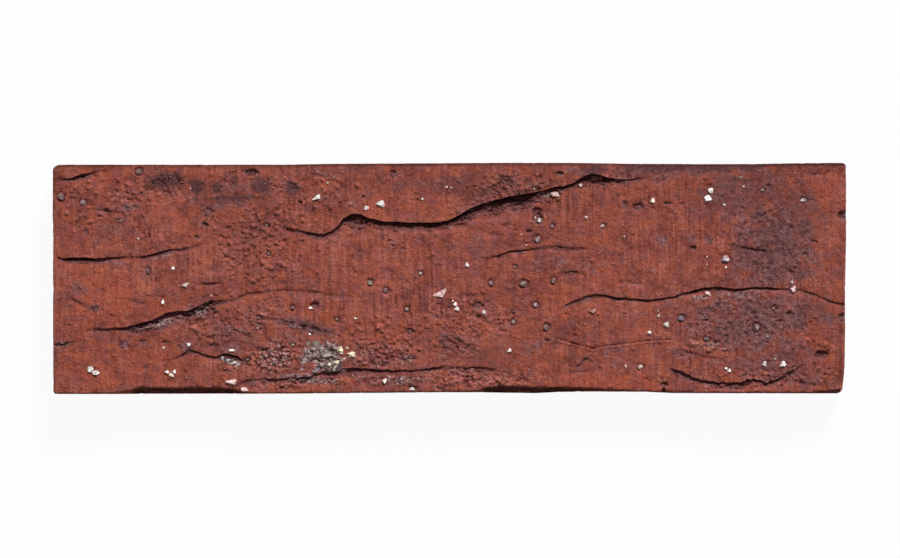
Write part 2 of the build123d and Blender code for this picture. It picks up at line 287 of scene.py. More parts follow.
# %% Lay the ovals
patches = {
    "soot": (
        (-92, 12, 9, 8, 0.2), (72, 33.4, 26, 2.2, 1.3), (41, 32.5, 7, 2, 0.8), (-66, 22.5, 16, 1.6, 0.7, 3),
        (98, 9, 16, 17, 1.0), (92, -12, 21, 12, 0.95), (88, 25, 18, 9, 0.7), (104, 20, 11, 10, 0.7),
        (-89, -13.9, 11, 2.2, 1.0, 14), (-80, -21.5, 4, 3, 0.5), (106, -30, 12, 4, 0.6),
        (101, -22, 9, 6, 0.6), (16, 28.5, 8, 4, 0.5, 15), (2, -20, 8, 6, 0.4),
        (-44, -14.3, 10, 2.2, 1.0, -14), (-75, -9.8, 7, 2.8, 0.9, 10), (-13, -24, 4, 2.6, 0.5),
        (8, 10, 3, 8, 0.5, 10), (-117, -20, 3, 1.4, 0.9), (-96, 21.5, 7, 1.6, 0.7, 5), (-36, 23, 8, 5, 0.3),
        (-57, 27, 7, 5, 0.4), (-104, 14, 9, 4, 0.4), (112, -12, 6, 4, 0.45), (84, 25, 5, 2, 0.8, -5),
        (-22, -24, 12, 5, 0.5), (-42, -31, 10, 2.2, 0.7), (-18, -30.5, 12, 2.2, 0.6), (79, -13, 9, 8, 0.6),
        (-76.7, 28.3, 2.4, 2.8, 1.2), (-70.4, 27.3, 2.0, 2.2, 1.0), (-65.2, 29, 1.8, 2.4, 1.0),
        (-56.8, 28.2, 3.4, 3.2, 1.1), (-47.4, 27.8, 2.6, 3.2, 1.0), (-66, 24.3, 11, 1.3, 1.0, 2),
        (-112, -3.5, 5, 3, 0.6), (-107.5, -9, 1.6, 1.3, 1.0), (-115, -8, 2, 1.5, 0.8),
        (-85.6, 29.4, 5, 3.8, 0.9), (-100, 18, 3, 1.5, 0.8), (-66, -18, 10, 6, 0.5), (36, 4, 14, 4, 0.4),
        (-40, 32, 14, 2.4, 0.5), (-3, 29, 12, 3, 0.4), (70, -23, 6, 1.8, 0.7, -14), (57, 20.5, 3, 1.5, 0.7),
        (64.5, 11.8, 2.4, 1.4, 1.0), (73.5, 12, 2.6, 1.5, 1.0), (78.3, 11.8, 2, 1.6, 0.9),
        (60, 31, 18, 3, 0.5), (70, -10, 12, 6, 0.4), (20, 27, 14, 5, 0.4, 10), (110, -8, 8, 7, 0.5),
        (90, -26, 12, 5, 0.7), (22, -21, 10, 5, 0.4), (47, -24, 10, 4, 0.35), (-50, -18, 8, 4, 0.5),
    ),
    "orange": (
        (-105, -4, 12, 12, 0.9), (-112, -26, 8, 9, 0.6), (-108, 30, 13, 5, 0.6), (42, -31, 26, 3.4, 0.9),
        (-39, -32.8, 4, 1.8, 1.0), (62, -32.5, 4, 1.8, 1.0), (114, 27, 7, 9, 0.7), (113, -4, 5, 5, 0.4),
        (-20, -28, 4, 1.6, 0.7), (-30, -31.5, 5, 2, 0.7), (-85, 17, 12, 9, 0.4), (30, 12, 30, 8, 0.3),
        (-100, -24, 20, 10, 0.75), (-80, -29, 14, 4, 0.6), (-110, 10, 10, 16, 0.45), (-15, -15, 8, 9, 0.3),
        (75, -27, 12, 3, 0.45), (70, 27, 14, 6, 0.35), (28, -22, 12, 8, 0.5), (31, -8, 10, 8, 0.5),
        (-3, 31.5, 10, 2, 0.7), (-22, -20, 9, 4, 0.5),
    ),
    "rubble": (
        (-89, -13.9, 9, 1.5, 0.9, 14), (12, 23, 16, 3.5, 0.6, 20), (96, 12, 13, 12, 0.12),
        (46, 29.5, 8, 2, 0.9), (-53, -24, 11, 6, 1.0, 8), (-76, -9.8, 7, 2.6, 0.9, 10),
        (2, -20.5, 9, 6, 0.6), (16, 28.5, 9, 4, 0.7, 15), (-20, -23, 12, 5, 0.8), (-66, -26, 6, 3, 0.7),
        (8, -31, 22, 3, 0.7), (-59, 10, 14, 12, 0.2), (88, -14, 14, 8, 0.14), (-48, -31.5, 16, 2.6, 0.8),
        (-55, -11, 8, 6, 0.4), (98, -28, 14, 4, 0.4), (86, -32.4, 12, 1.4, 0.8),
        (101, -30.4, 5, 2.4, 0.8, 30), (-2, -28, 18, 1.2, 0.7), (-86, 28, 9, 5, 0.6), (-67, 28, 4, 4, 0.45),
        (-52, 29, 6, 4, 0.45), (24, 27.2, 9, 1.6, 0.6, 13), (-38, -24, 8, 5, 0.8), (12, -13, 9, 7, 0.4),
        (-98, 24, 7, 4, 0.4, 10), (-38, -31, 9, 2, 0.8), (-20, -30.5, 12, 2.2, 0.7),
        (96, -29.8, 10, 1.8, 0.9), (77, -13, 8, 7, 0.25), (78, -20.5, 8, 2.4, 0.6, -10),
    ),
    "burn_and_shade": (
        (85, 26, 32, 9, 0.33), (104, 20, 16, 13, 0.3), (112, -10, 10, 9, 0.3), (100, -26, 18, 7, 0.3),
        (8, 28, 18, 5, 0.42), (-10, 29, 12, 5, 0.25), (30, 30, 10, 3, 0.3), (-70, 27, 12, 6, 0.3),
        (12, -25, 13, 6, 0.38), (-62, 10, 14, 12, 0.26), (-67, -24.6, 4, 1.3, 0.6, -12),
        (-34, -27.8, 5, 1.2, 0.7), (13, 23.5, 12, 2.2, 0.3, 20), (-62, -30.6, 4, 0.8, 0.5),
        (-20, -28.2, 14, 1.4, 0.35), (-86, 29, 9, 5, 0.55), (-76.7, 28.3, 3, 3.4, 0.6),
        (-70.4, 27.3, 2.4, 2.6, 0.5), (-65.2, 29, 2.2, 3, 0.5), (-56.8, 28.2, 4, 3.6, 0.5),
        (-47.4, 27.8, 3, 3.6, 0.5), (-66, 24.3, 12, 1.5, 0.5, 2), (72, 33.6, 27, 1.7, 0.5),
        (23, 26.6, 8, 1.1, 0.6, 13), (16, 29, 8, 3, 0.45, 15), (2, -20, 7, 5, 0.4), (44, 32.8, 7, 1.6, 0.5),
        (-90, -8.5, 10, 2, 0.2, 14), (98, 8, 14, 12, 0.33), (90, -12, 15, 9, 0.22),
        (-46, -27, 10, 2.4, 0.3), (-44, -15, 9, 1.6, 0.35, -14), (36, -18, 8, 6, 0.15),
        (-16, 27, 14, 4, 0.2), (30, 27, 52, 9, 0.28), (60, -12, 22, 7, 0.2), (10, 8, 10, 8, 0.2),
        (69, 8, 11, 8, 0.2), (10, -9, 10, 8, 0.18), (98, -29.6, 9, 1.6, 0.4),
    ),
    "slag": (
        (-39, -22.5, 8, 3.4, 1.0, 12), (-36, -25.5, 6, 2.6, 1.0), (-34, -27.4, 4, 1.5, 1.0),
        (-12.5, -24.2, 3.2, 2.0, 0.4, -10), (-65.8, -25.2, 3.4, 1.2, 1.0, -15), (-42, -30.9, 3.4, 0.9, 0.8),
        (-88, -13.4, 11, 1.5, 0.45, 14), (-75, -9.6, 5, 1.8, 0.5, 12), (-53, -24, 9, 5, 0.42, 8),
        (-20, -22, 9, 4, 0.3), (-14, -30.5, 8, 2, 0.42), (-46, -29.5, 9, 1.6, 0.45),
        (18, 22.8, 9, 1.1, 0.36, 14), (30, 25.6, 3, 1.1, 0.5, 20), (-101, 4.7, 8, 0.8, 0.36),
        (-88, 6.4, 6, 0.8, 0.36, 14), (86, -5.0, 16, 1.2, 0.38), (-44, -15, 8, 1.2, 0.38, -14),
        (-10, 14.9, 14, 0.7, 0.34), (54, -7.2, 10, 0.7, 0.34, -4), (-40, -31.4, 9, 1.4, 0.42),
        (80, -20.4, 7, 1.6, 0.42, -10), (75, -6, 6, 2, 0.4),
    ),
    "drag": (
        (-70, 3, 17, 8, 1.0), (-38, 6, 16, 9, 0.4), (-10, 7, 16, 10, 0.6), (-12, -8, 14, 6, 0.75),
        (58, 13, 16, 11, 0.3), (66, 25, 8, 8, 0.6), (32, 20, 8, 6, 0.6), (38, 3, 12, 5, 0.4),
        (-66, -26, 10, 5, 0.8), (-90, 14, 8, 6, 0.4),
    ),
    "pale": (
        (-95, -2, 7, 4, 0.8), (-77, -15, 13, 3, 0.8, 8), (-73, -26, 7, 3.4, 0.8), (-66, -11, 8, 3, 0.6),
        (-20, 12, 12, 3, 0.5), (22, 18.5, 10, 3, 0.5, 12), (57, -9.5, 11, 3, 0.6), (88, -7, 12, 2.4, 0.5),
        (-100, 3.4, 9, 1.6, 0.6), (-50, -19, 9, 3, 0.5), (-100, -27, 9, 5, 0.4), (60, 3, 9, 4, 0.5),
        (-88, 15, 7, 5, 0.5), (115, 14, 4, 8, 0.5), (5, -31, 8, 2, 0.5), (-72, 4, 9, 4, 0.5),
    ),
}
for name, ovals in patches.items():
    for oval in ovals:
        spread(name, *oval)
print("ovals of each mask:", {name: len(ovals) for name, ovals in patches.items()})

# %% Rubble, slag and drag lines
rough, melt = masks["rubble"], masks["slag"]
broken = facets(X, Y * 1.4, 1.5, 50) + 0.6 * facets(X, Y * 1.2, 0.8, 51)
broken += 0.8 * octaves(X, Y * 1.5, 3.5, 52)
flaked = facets(X * 0.8 + Y * 0.5, Y * 1.6 - X * 0.4, 2.4, 53) + 0.5 * facets(X, Y * 1.5, 1.1, 54)
Z += rough * (0.7 * broken - 0.15) + melt * (0.8 * flaked + 0.1)
smoothed = 1 - np.clip(rough * 1.6, 0, 1)
dragged = smoothed * np.clip(0.55 + 0.4 * noise(X / 30, Y / 24, 42) + 0.8 * masks["drag"], 0.2, 1.4)
masks["drag"] = dragged
Z += 0.1 * dragged * drag
print("rubble covers", round(100 * float((rough > 0.5).mean()), 1), "% of the points")

# %% [markdown]
# ## Folds
# When the soft face was pushed, its skin doubled over and left long folds. Each one is a lip
# that hangs over a floor. A grid can't hang over itself by height alone, so the rows of points
# next to a lip, one above it and one below, are both drawn onto it: the upper one becomes the
# lip and moves out over the floor, and the lower one moves in under it.
# A fold's route is a list of places from left to right: x, y, depth and the width of the band
# under the lip that is burnt and painted with shade, all in mm. A crease is a short shallow fold.

# %% The routes of the folds
long_fold = (
    (-53, 15.9, 0.0, 0.2), (-49, 15.2, 0.6, 0.7), (-45, 14.5, 1.1, 1.2), (-38, 13.3, 1.2, 1.0),
    (-35.5, 14.4, 1.2, 1.1), (-33.6, 15.9, 1.3, 1.4), (-32, 18.3, 1.6, 2.0), (-29.5, 19.7, 2.1, 3.2),
    (-26.8, 19.5, 2.2, 3.4), (-24.5, 18.2, 2.0, 2.3), (-20, 17.3, 2.0, 2.0), (-12, 17.0, 2.1, 2.2),
    (-3.6, 16.9, 2.0, 2.0), (-0.6, 17.5, 2.0, 1.9), (3, 19.4, 2.2, 2.2), (6, 21.2, 2.4, 3.4),
    (8, 22.1, 2.4, 4.2), (11.3, 23.0, 2.4, 4.2), (14.6, 24.0, 2.4, 4.0), (17.9, 24.7, 2.5, 3.8),
    (21.2, 25.2, 2.5, 4.2), (24.5, 25.8, 2.4, 4.4), (27.8, 26.6, 2.2, 3.6), (31.1, 27.5, 2.0, 2.4),
    (34.4, 28.0, 1.6, 1.4), (37.7, 29.0, 1.4, 1.6), (40.5, 31.0, 1.6, 3.0), (43.5, 31.9, 1.7, 3.4),
    (48, 30.3, 1.5, 2.2), (53, 29.9, 1.1, 1.3), (58, 30.3, 0.8, 0.8), (62, 30.6, 0.0, 0.3),
)
left_fold = (
    (-119, 6.6, 0.3, 0.5), (-116, 6.4, 1.3, 1.3), (-110, 6.2, 1.8, 1.7), (-105, 6.1, 1.6, 1.5),
    (-101, 6.5, 0.9, 0.8), (-97, 6.3, 0.4, 0.4), (-93, 6.7, 0.9, 0.8), (-88, 8.0, 1.2, 1.0),
    (-84, 8.9, 1.0, 0.8), (-80, 9.0, 0.6, 0.6), (-74, 10.6, 0.3, 0.4), (-71, 11.2, 0.0, 0.2),
)
sweeping_fold = (
    (-113, -15.9, 0.0, 0.2), (-107, -15.3, 0.6, 0.7), (-102, -15.0, 1.5, 1.1), (-98, -14.5, 1.8, 1.4),
    (-94, -13.4, 1.9, 2.0), (-90, -12.5, 1.9, 2.4), (-86, -10.6, 1.9, 2.4), (-83, -9.9, 1.8, 2.2),
    (-79, -9.7, 1.6, 2.4), (-75, -8.0, 1.4, 2.4), (-72, -6.4, 1.2, 2.2), (-69, -6.7, 0.8, 1.2),
    (-65, -6.2, 0.7, 0.6), (-61, -4.4, 0.7, 0.7), (-55, -3.8, 0.5, 0.6), (-50, -3.4, 0.6, 0.9),
    (-42, -3.7, 0.6, 1.0), (-36, -4.6, 0.6, 0.9), (-30, -5.2, 0.3, 0.5), (-26, -5.4, 0.0, 0.2),
)
right_fold = (
    (31, -9.6, 0.0, 0.2), (34, -8.8, 0.5, 0.5), (37, -6.9, 0.9, 0.9), (41, -5.3, 1.0, 1.2),
    (45, -4.6, 1.0, 1.4), (48, -5.0, 1.2, 1.1), (54, -5.9, 1.3, 0.8), (60, -6.3, 1.4, 0.8),
    (65, -5.9, 1.3, 0.7), (69, -4.9, 1.3, 0.8), (73, -3.7, 1.5, 1.1), (77, -2.6, 1.6, 1.3),
    (81, -2.5, 1.5, 1.5), (86, -3.2, 1.3, 1.0), (91, -2.7, 1.4, 1.0), (96, -2.6, 1.5, 1.0),
    (100, -3.0, 1.0, 0.7), (106, -3.3, 0.9, 0.7), (110, -4.6, 0.8, 0.5), (115, -6.8, 0.7, 0.5),
    (119.5, -7.8, 0.8, 0.6),
)
low_fold = (
    (-68, -33.8, 0.0, 0.2), (-64.5, -32.4, 0.7, 0.7), (-61, -30.6, 1.0, 0.9), (-55, -30.2, 1.2, 0.8),
    (-48, -30.0, 1.3, 0.7), (-42, -29.2, 1.5, 0.9), (-38, -28.2, 1.6, 1.2), (-34, -27.2, 1.6, 1.6),
    (-28, -27.0, 1.6, 1.6), (-22, -27.2, 1.5, 1.5), (-17, -27.6, 1.3, 1.0), (-12, -27.6, 1.2, 0.8),
    (-7, -27.3, 1.1, 0.8), (-2, -26.6, 1.0, 0.7), (4, -26.8, 1.1, 0.8), (9, -26.6, 1.0, 0.8),
    (13, -27.4, 0.7, 0.5), (19, -29.0, 0.3, 0.3), (22, -29.6, 0.0, 0.2),
)
corner_fold = (
    (66, -27.4, 0.0, 0.2), (68, -27.6, 1.1, 1.4), (71, -28.6, 1.2, 1.3), (75, -30.4, 1.3, 1.0),
    (80, -31.2, 1.4, 0.9), (84, -31.3, 1.5, 1.2), (88, -30.9, 1.5, 1.2), (92, -30.5, 1.5, 1.1),
    (96, -31.3, 1.4, 0.9), (99, -30.3, 1.3, 1.2), (102, -28.4, 1.2, 1.8), (105, -27.0, 0.8, 1.0),
    (108, -25.8, 0.0, 0.2),
)
middle_fold = (
    (3, 5.2, 0.0, 0.2), (8, 5.9, 0.3, 0.6), (12, 6.3, 0.45, 0.7), (15, 7.1, 0.7, 0.8),
    (18.5, 8.5, 1.0, 0.8), (24, 8.9, 0.9, 0.7), (28, 9.3, 0.7, 0.6), (33, 9.7, 0.7, 1.2),
    (37, 9.2, 0.6, 1.1), (42, 9.2, 0.4, 0.7), (46, 9.2, 0.0, 0.2),
)
hollow_fold = (
    (-91, -24.2, 0.0, 0.2), (-86, -24.7, 0.4, 0.5), (-82, -23.8, 0.7, 0.7), (-78.8, -21.2, 1.2, 1.4),
    (-76, -22.2, 1.0, 0.8), (-73, -23.2, 0.8, 0.7), (-70.5, -23.6, 1.0, 0.9), (-67.5, -22.6, 1.4, 1.4),
    (-64, -23.4, 1.3, 1.1), (-61.5, -25.4, 0.8, 0.8), (-59, -26.6, 0.0, 0.2),
)
lower_crease = (
    (-56, -11.6, 0.0, 0.2), (-52, -12.2, 0.5, 1.1), (-46, -13.4, 0.6, 1.6), (-40, -14.9, 0.6, 1.4),
    (-35, -16.6, 0.3, 0.7), (-32, -17.4, 0.0, 0.2),
)
creases = (
    ((-118, 29.9, 0.3, 0.4), (-114, 30.6, 1.4, 1.2), (-110.5, 31.6, 1.2, 1.2), (-106, 32.6, 0.5, 0.5),
     (-100, 33.4, 0.0, 0.2)),
    ((-110, 21.1, 0.0, 0.2), (-105, 20.8, 0.5, 0.4), (-101, 20.2, 0.6, 0.5), (-98, 20.3, 0.0, 0.2)),
    ((-118, -6.0, 0.0, 0.2), (-114, -6.2, 0.6, 0.5), (-111.5, -7.5, 0.5, 0.5), (-109, -9.0, 0.0, 0.2)),
    ((-102, -6.0, 0.0, 0.2), (-97, -6.4, 0.4, 0.4), (-93, -7.2, 0.5, 0.5), (-91, -7.4, 0.0, 0.2)),
    ((-77, -2.2, 0.0, 0.2), (-74, -1.4, 0.7, 0.7), (-70, -1.2, 0.6, 0.5), (-68, -1.0, 0.0, 0.2)),
    ((31, 1.0, 0.0, 0.2), (34, 1.6, 0.5, 0.5), (37, 2.3, 0.7, 0.6), (39.5, 1.9, 0.6, 0.5),
     (41.5, 0.7, 0.0, 0.2)),
    ((0, -5.2, 0.0, 0.2), (4, -5.0, 0.5, 0.5), (10, -4.7, 0.6, 0.6), (13, -4.3, 0.0, 0.2)),
    ((50, -1.2, 0.0, 0.2), (54, -0.9, 0.4, 0.4), (58, -1.4, 0.5, 0.4), (61, -2.6, 0.0, 0.2)),
    ((82, 10.6, 0.0, 0.2), (86, 10.1, 0.6, 0.7), (92, 9.0, 0.7, 0.8), (97, 8.0, 0.4, 0.4),
     (101, 7.6, 0.0, 0.2)),
    ((106, 32.1, 0.0, 0.2), (110, 31.7, 0.5, 0.4), (114, 31.9, 0.4, 0.4), (118.5, 33.9, 0.0, 0.2)),
    ((68, -20.9, 0.0, 0.2), (72, -22.0, 0.7, 0.8), (77, -23.3, 0.7, 0.8), (81, -23.9, 0.3, 0.4),
     (84, -24.2, 0.0, 0.2)),
    ((34, -28.4, 0.0, 0.2), (37, -28.0, 0.5, 0.4), (41, -28.0, 0.3, 0.3), (44, -28.3, 0.0, 0.2)),
    ((101, -29.3, 0.0, 0.2), (104, -30.3, 0.5, 0.6), (108, -31.6, 0.4, 0.5), (114, -32.3, 0.3, 0.4),
     (118, -31.8, 0.0, 0.2)),
    ((-120, -19.9, 0.4, 0.5), (-117, -19.8, 0.8, 1.0), (-113, -19.0, 0.4, 0.5), (-109, -18.4, 0.0, 0.2)),
    ((-12, -9.5, 0.0, 0.2), (-8, -9.6, 0.3, 0.3), (-2, -11.6, 0.3, 0.3), (2, -12.4, 0.0, 0.2)),
    ((14, 16.0, 0.0, 0.2), (16.5, 16.4, 0.5, 0.4), (19, 16.3, 0.3, 0.3), (21, 16.1, 0.0, 0.2)),
    ((-9, 14.6, 0.0, 0.2), (5, 15.9, 0.3, 0.4), (12, 13.8, 0.3, 0.3), (20, 12.6, 0.0, 0.2)),
    ((36, -27.0, 0.0, 0.2), (39.5, -26.0, 0.6, 0.5), (40.6, -24.2, 0.8, 0.7), (42.2, -24.2, 0.6, 0.5),
     (44, -25.6, 0.0, 0.2)),
    ((-74, -28.3, 0.0, 0.2), (-68, -27.7, 0.4, 0.3), (-62, -28.6, 0.0, 0.2)),
    ((-16, 11.1, 0.0, 0.2), (-14, 11.3, 0.4, 0.3), (-11, 11.5, 0.0, 0.2)),
)
print("the long fold is", max(depth for _, _, depth, _ in long_fold), "mm deep, and creases:", len(creases))

# %% How a fold is pressed
face_rise = on_face.astype(float)
shift_y = np.zeros_like(Y)


def press_fold(route, seed, size, burn_and_shade, wild=0.2, overhang=0.28):
    """Opens a fold along its route. Size scales its depth, the next number its burn and painted shade, and
    wild how ragged its lip is.
    """
    xs, ys, depths, bands = np.array(route).T
    near = (X > xs[0]) & (X < xs[-1]) & (Y < ys.max() + 6) & (Y > ys.min() - 9)
    i = np.nonzero(near)[0]
    x, middle = X[i], 0 * X[i] + 0.5

    # the fold's depth and the width of its band of burn and painted shade along its route, and how far below
    # the lip a point is
    uneven = 1 + 0.4 * noise(x / 4.5, middle, seed + 6) + 0.15 * noise(x / 1.3, middle, seed + 7)
    depth = size * np.interp(x, xs, depths) * uneven
    band = np.interp(x, xs, bands) * (1 + 0.4 * noise(x / 3.2, middle, seed + 3))
    ragged = noise(x / 3.8, middle, seed) + 0.5 * noise(x / 1.2, middle, seed + 1)
    sharp = soft_step(0.4, 0.85, depth)
    hang = overhang * np.clip(depth, 0, 1.5)
    below = np.interp(x, xs, ys) + sharp * hang + wild * ragged * np.clip(depth, 0.2, 1) - Y[i]

    # the floor under the lip, which climbs back to the face, with fallen crumbs on it
    lip = 0.45 * (1 - sharp) + 0.001
    under = soft_step(-lip, lip, below)
    streaks = noise(x / 1.8, below / 0.5, seed + 2)
    room = 1.0 + 1.7 * band * (1 + 0.3 * noise(x / 7.0, middle, seed + 4))
    floor = 1 - soft_step(0.25 * band, room, below)
    crumbly = soft_step(1.1, 2.2, band) * floor * soft_step(0, 0.6, below)
    fallen = crumbly * (0.9 * facets(x, Y[i] * 1.3, 1.2, seed + 5) + 0.35 * broken[i])
    fallen += 0.22 * depth * np.exp(-((below - 0.95 * band - 0.4) / 0.35) ** 2)
    ridge = 0.1 * depth * sharp * np.exp(np.clip(below, None, 0) / 1.3)
    dug = under * (depth * floor * (1 + 0.35 * streaks * floor) - fallen)
    Z[i] += face_rise[i] * ((1 - under) * ridge - dug)

    # the burn and painted shadow next to the lip, which fray out, and soot and rubble over the whole floor
    core = 0.85 * np.minimum(band, 2.2) + 0.35 * np.clip(band - 2.2, 0, None) + 0.2
    spent = np.clip(below - 0.28 * band + 0.25 * streaks, 0, None) / core
    burnt_and_shaded = burn_and_shade * np.clip(depth / 1.1, 0, 1) ** 1.3 * np.exp(-spent ** 2)
    burnt_and_shaded = burnt_and_shaded * soft_step(-lip - 0.05, lip + 0.05, below)
    burnt_and_shaded = burnt_and_shaded * np.clip(0.9 + 0.5 * noise(x / 5.0, middle, seed + 8), 0.5, 1)
    masks["burn_and_shade"][i] = np.maximum(masks["burn_and_shade"][i], burnt_and_shaded * face_rise[i])
    sooty = under * (1 - soft_step(0.5 * band, room, below)) * np.clip(1.2 * depth, 0, 1)
    masks["soot"][i] = np.maximum(masks["soot"][i], sooty)
    masks["rubble"][i] = np.maximum(masks["rubble"][i], crumbly)

    # the two rows next to the lip move onto it
    shift_y[i] = np.where((below <= 0) & (below > -STEP), sharp * (below - hang), shift_y[i])
    shift_y[i] = np.where((below > 0) & (below < STEP), sharp * (below + 0.6 * hang), shift_y[i])


print("a fold can press", int(face_rise.sum()), "points")

# %% Press the folds into the face
main_folds = (
    (long_fold, 0.75, 0.92, 0.2), (left_fold, 0.8, 0.9, 0.2), (sweeping_fold, 0.65, 0.68, 0.25),
    (right_fold, 0.65, 0.85, 0.25), (low_fold, 0.6, 0.68, 0.45), (corner_fold, 0.65, 0.75, 0.7),
)
for number, (route, size, burn_and_shade, wild) in enumerate(main_folds):
    press_fold(route, 100 + 10 * number, size, burn_and_shade, wild)
fine_folds = (middle_fold, hollow_fold, lower_crease)
for number, route in enumerate(fine_folds):
    press_fold(route, 200 + 10 * number, size=0.8, burn_and_shade=0.75)
for number, route in enumerate(creases):
    press_fold(route, 300 + 10 * number, size=0.8, burn_and_shade=0.7)
print("folds:", len(main_folds) + len(fine_folds), "deepest floor:", Z[on_face].min().round(2), "mm up")

# %% [markdown]
# ## Pits, pores and scratches
# Where grit has fallen out or gas has burst, the face has pits. The big ones are listed, and
# hundreds of pores are scattered by a seeded draw, with stippled ovals where the
# face is pricked all over. Balls could be cut out of the slab one by one, but pressing the
# points is far quicker and keeps the rims soft.
# A pit is a dish that is steepest at its upper rim, so that the rim shades a crescent of it.
# A pimple is a pit pushed up. Each pebble, which comes later, sits in a moat with a ring of painted shade.
# A pit is given by x, y, its two radii and its depth, a pebble by its kind, tint, place and
# size, and a stippled oval by its place, its half length and width and its number of dents.

# %% Where the pits and pebbles are
pits = (
    (-60, 32, 2.4, 1.1, 1.0), (-73.2, 20, 1.7, 1.4, 0.5), (-74, 16.2, 1.1, 1.0, 0.9),
    (-76.3, 12.3, 0.9, 0.7, 0.6), (-17, 31.5, 1.5, 1.3, 0.7), (24.1, 14.1, 1.0, 0.6, 0.8),
    (53, 22, 1.2, 1.4, 0.5), (57, 21.6, 2.0, 1.3, 0.9), (73.7, 9.0, 1.0, 0.9, 0.9),
    (33.3, 31.5, 1.2, 0.9, 0.8), (78.8, 28, 0.8, 0.7, 0.6), (-71.3, -20.4, 1.4, 0.9, 0.6),
    (-57.3, -11.9, 1.3, 0.9, 0.7), (-57.5, -13.9, 1.0, 0.6, 0.6), (-40.8, -8.2, 1.3, 1.2, 1.0),
    (-12, -16, 1.5, 1.1, 0.9), (8.3, -8.2, 1.6, 1.6, 0.5), (8.6, -11.7, 0.9, 0.5, 0.6),
    (19, -10.7, 0.9, 0.6, 0.7), (37.8, -17.4, 0.7, 0.6, 0.6), (29.3, -18.7, 1.1, 0.5, 0.8),
    (112.5, -23, 2.2, 1.3, 1.4), (86.2, -9.8, 0.9, 0.6, 0.6), (99.7, -13, 0.9, 0.6, 0.7),
    (102.6, -10.7, 1.4, 0.6, 0.7), (91.5, -10.6, 0.9, 0.5, 0.5), (110.5, 11, 1.1, 0.6, 0.6),
    (107.7, 7.3, 0.9, 0.6, 0.6), (103, 1.8, 0.9, 0.8, 0.6), (119.4, -12, 2.0, 1.6, 1.0),
    (64.8, -32.2, 1.4, 1.0, 1.0), (-17, 9.9, 0.7, 0.5, 0.6), (-18, 11.4, 0.8, 0.5, 0.6),
    (-14, 8.8, 0.9, 0.6, 0.5), (-11, -33.4, 1.6, 1.2, 0.8), (-86, -19.3, 1.2, 0.9, 0.7),
    (-109.8, 13.8, 1.1, 1.2, 0.5), (-92, -27, 1.0, 0.7, 0.4), (-98.5, -20.0, 1.8, 1.5, 0.35),
    (-92.6, -19.3, 1.2, 0.9, 0.5), (119.0, 18.8, 1.7, 1.6, 1.3), (66, 22.6, 1.4, 0.5, 0.5),
    (70, 22.6, 1.0, 0.5, 0.4), (26.4, 20.3, 1.6, 1.4, 1.0), (26.6, 18.1, 1.8, 1.9, 0.9),
    (20.0, 14.5, 0.8, 0.4, 0.4), (-26, 24.6, 0.6, 0.5, 0.6), (-45, 23.0, 0.7, 0.5, 0.7),
    (77.3, -12.7, 1.0, 0.5, 0.6), (81.0, -19.3, 1.1, 0.7, 0.7),
)
pebbles = (
    ("pebble", "grey", -117.4, 24.8, 2.5, 2.6), ("pebble", "grey", -110.8, 22.9, 2.3, 2.2),
    ("pebble", "stone", -94, 32.3, 2.6, 2.2), ("pebble", "stone", -91.2, 2.1, 1.5, 2.3),
    ("pebble", "grey", -55.3, 16, 1.6, 1.6), ("pebble", "grey", -54.7, 7.6, 1.4, 1.3),
    ("pebble", "grey", -8.8, 1.5, 1.5, 1.6), ("pebble", "grey", 26.7, 11.8, 2.3, 2.5),
    ("pebble", "stone", 31, 15.8, 1.5, 1.8), ("pebble", "pink", 46.3, 15.8, 1.8, 1.5),
    ("chip", "lilac", 83.4, 5.9, 3.4, 3.2), ("pebble", "dusty", 107, 23.7, 2.5, 1.4),
    ("pebble", "olive", 94.7, 26.7, 1.5, 1.3), ("pebble", "stone", 12.5, -1.4, 2.0, 2.2),
    ("pebble", "stone", 22.3, -1.6, 3.1, 2.4), ("pebble", "brown", 31.5, -0.7, 2.1, 2.3),
    ("pebble", "grey", 26, -8, 2.1, 2.0), ("pebble", "stone", 19.3, -13.2, 1.9, 2.0),
    ("pebble", "stone", 29.2, -14.8, 2.2, 2.4), ("pebble", "olive", -24, -1.3, 1.9, 2.1),
    ("pebble", "stone", -19.3, -3.6, 2.1, 1.9), ("pebble", "stone", -13, -9.3, 1.8, 1.8),
    ("pebble", "pink", 57.7, -26.8, 2.1, 2.1), ("pebble", "blue", 70, -12, 2.7, 2.3),
    ("pebble", "blue", 77.7, -18.3, 2.1, 1.6), ("pebble", "stone", 92.8, -14.8, 2.8, 2.8),
    ("pebble", "stone", -47.5, -8.8, 1.7, 1.6), ("pebble", "stone", -61, -24.5, 1.6, 1.4),
    ("pebble", "brown", 19.8, 3.5, 1.4, 1.3), ("pebble", "brown", 98.0, -9.0, 1.7, 1.4),
    ("pebble", "brown", -34, -12.4, 1.6, 1.4),
)
MOAT_DEPTH = 0.42
stipple_patches = (
    (-57, 10, 13, 12, 260), (-104, 24, 14, 8, 90), (-68, -14, 12, 5, 110), (-20, -18, 14, 6, 70),
    (90, -12, 15, 10, 40), (98, 14, 12, 12, 25), (20, 27, 16, 5, 110), (-40, 26, 14, 6, 60),
    (110, -25, 8, 8, 50), (8, -12, 12, 6, 60),
)
pore_count, pimple_count = (330, 900) if fine else (200, 400)
print("pits:", len(pits), "pebbles:", len(pebbles), "pores:", pore_count, "pimples:", pimple_count)

# %% How a pit is pressed
draw = np.random.default_rng(7)


def patch(x, y, reach):
    """The points of the face near a place."""
    return np.nonzero((abs(X - x) < reach) & (abs(Y - y) < reach) & on_face)[0]


def place_in_oval(x, y, half_x, half_y):
    """A random place in an oval."""
    turn, out = draw.uniform(0, 2 * math.pi), math.sqrt(draw.random())
    return x + half_x * out * math.cos(turn), y + half_y * out * math.sin(turn)


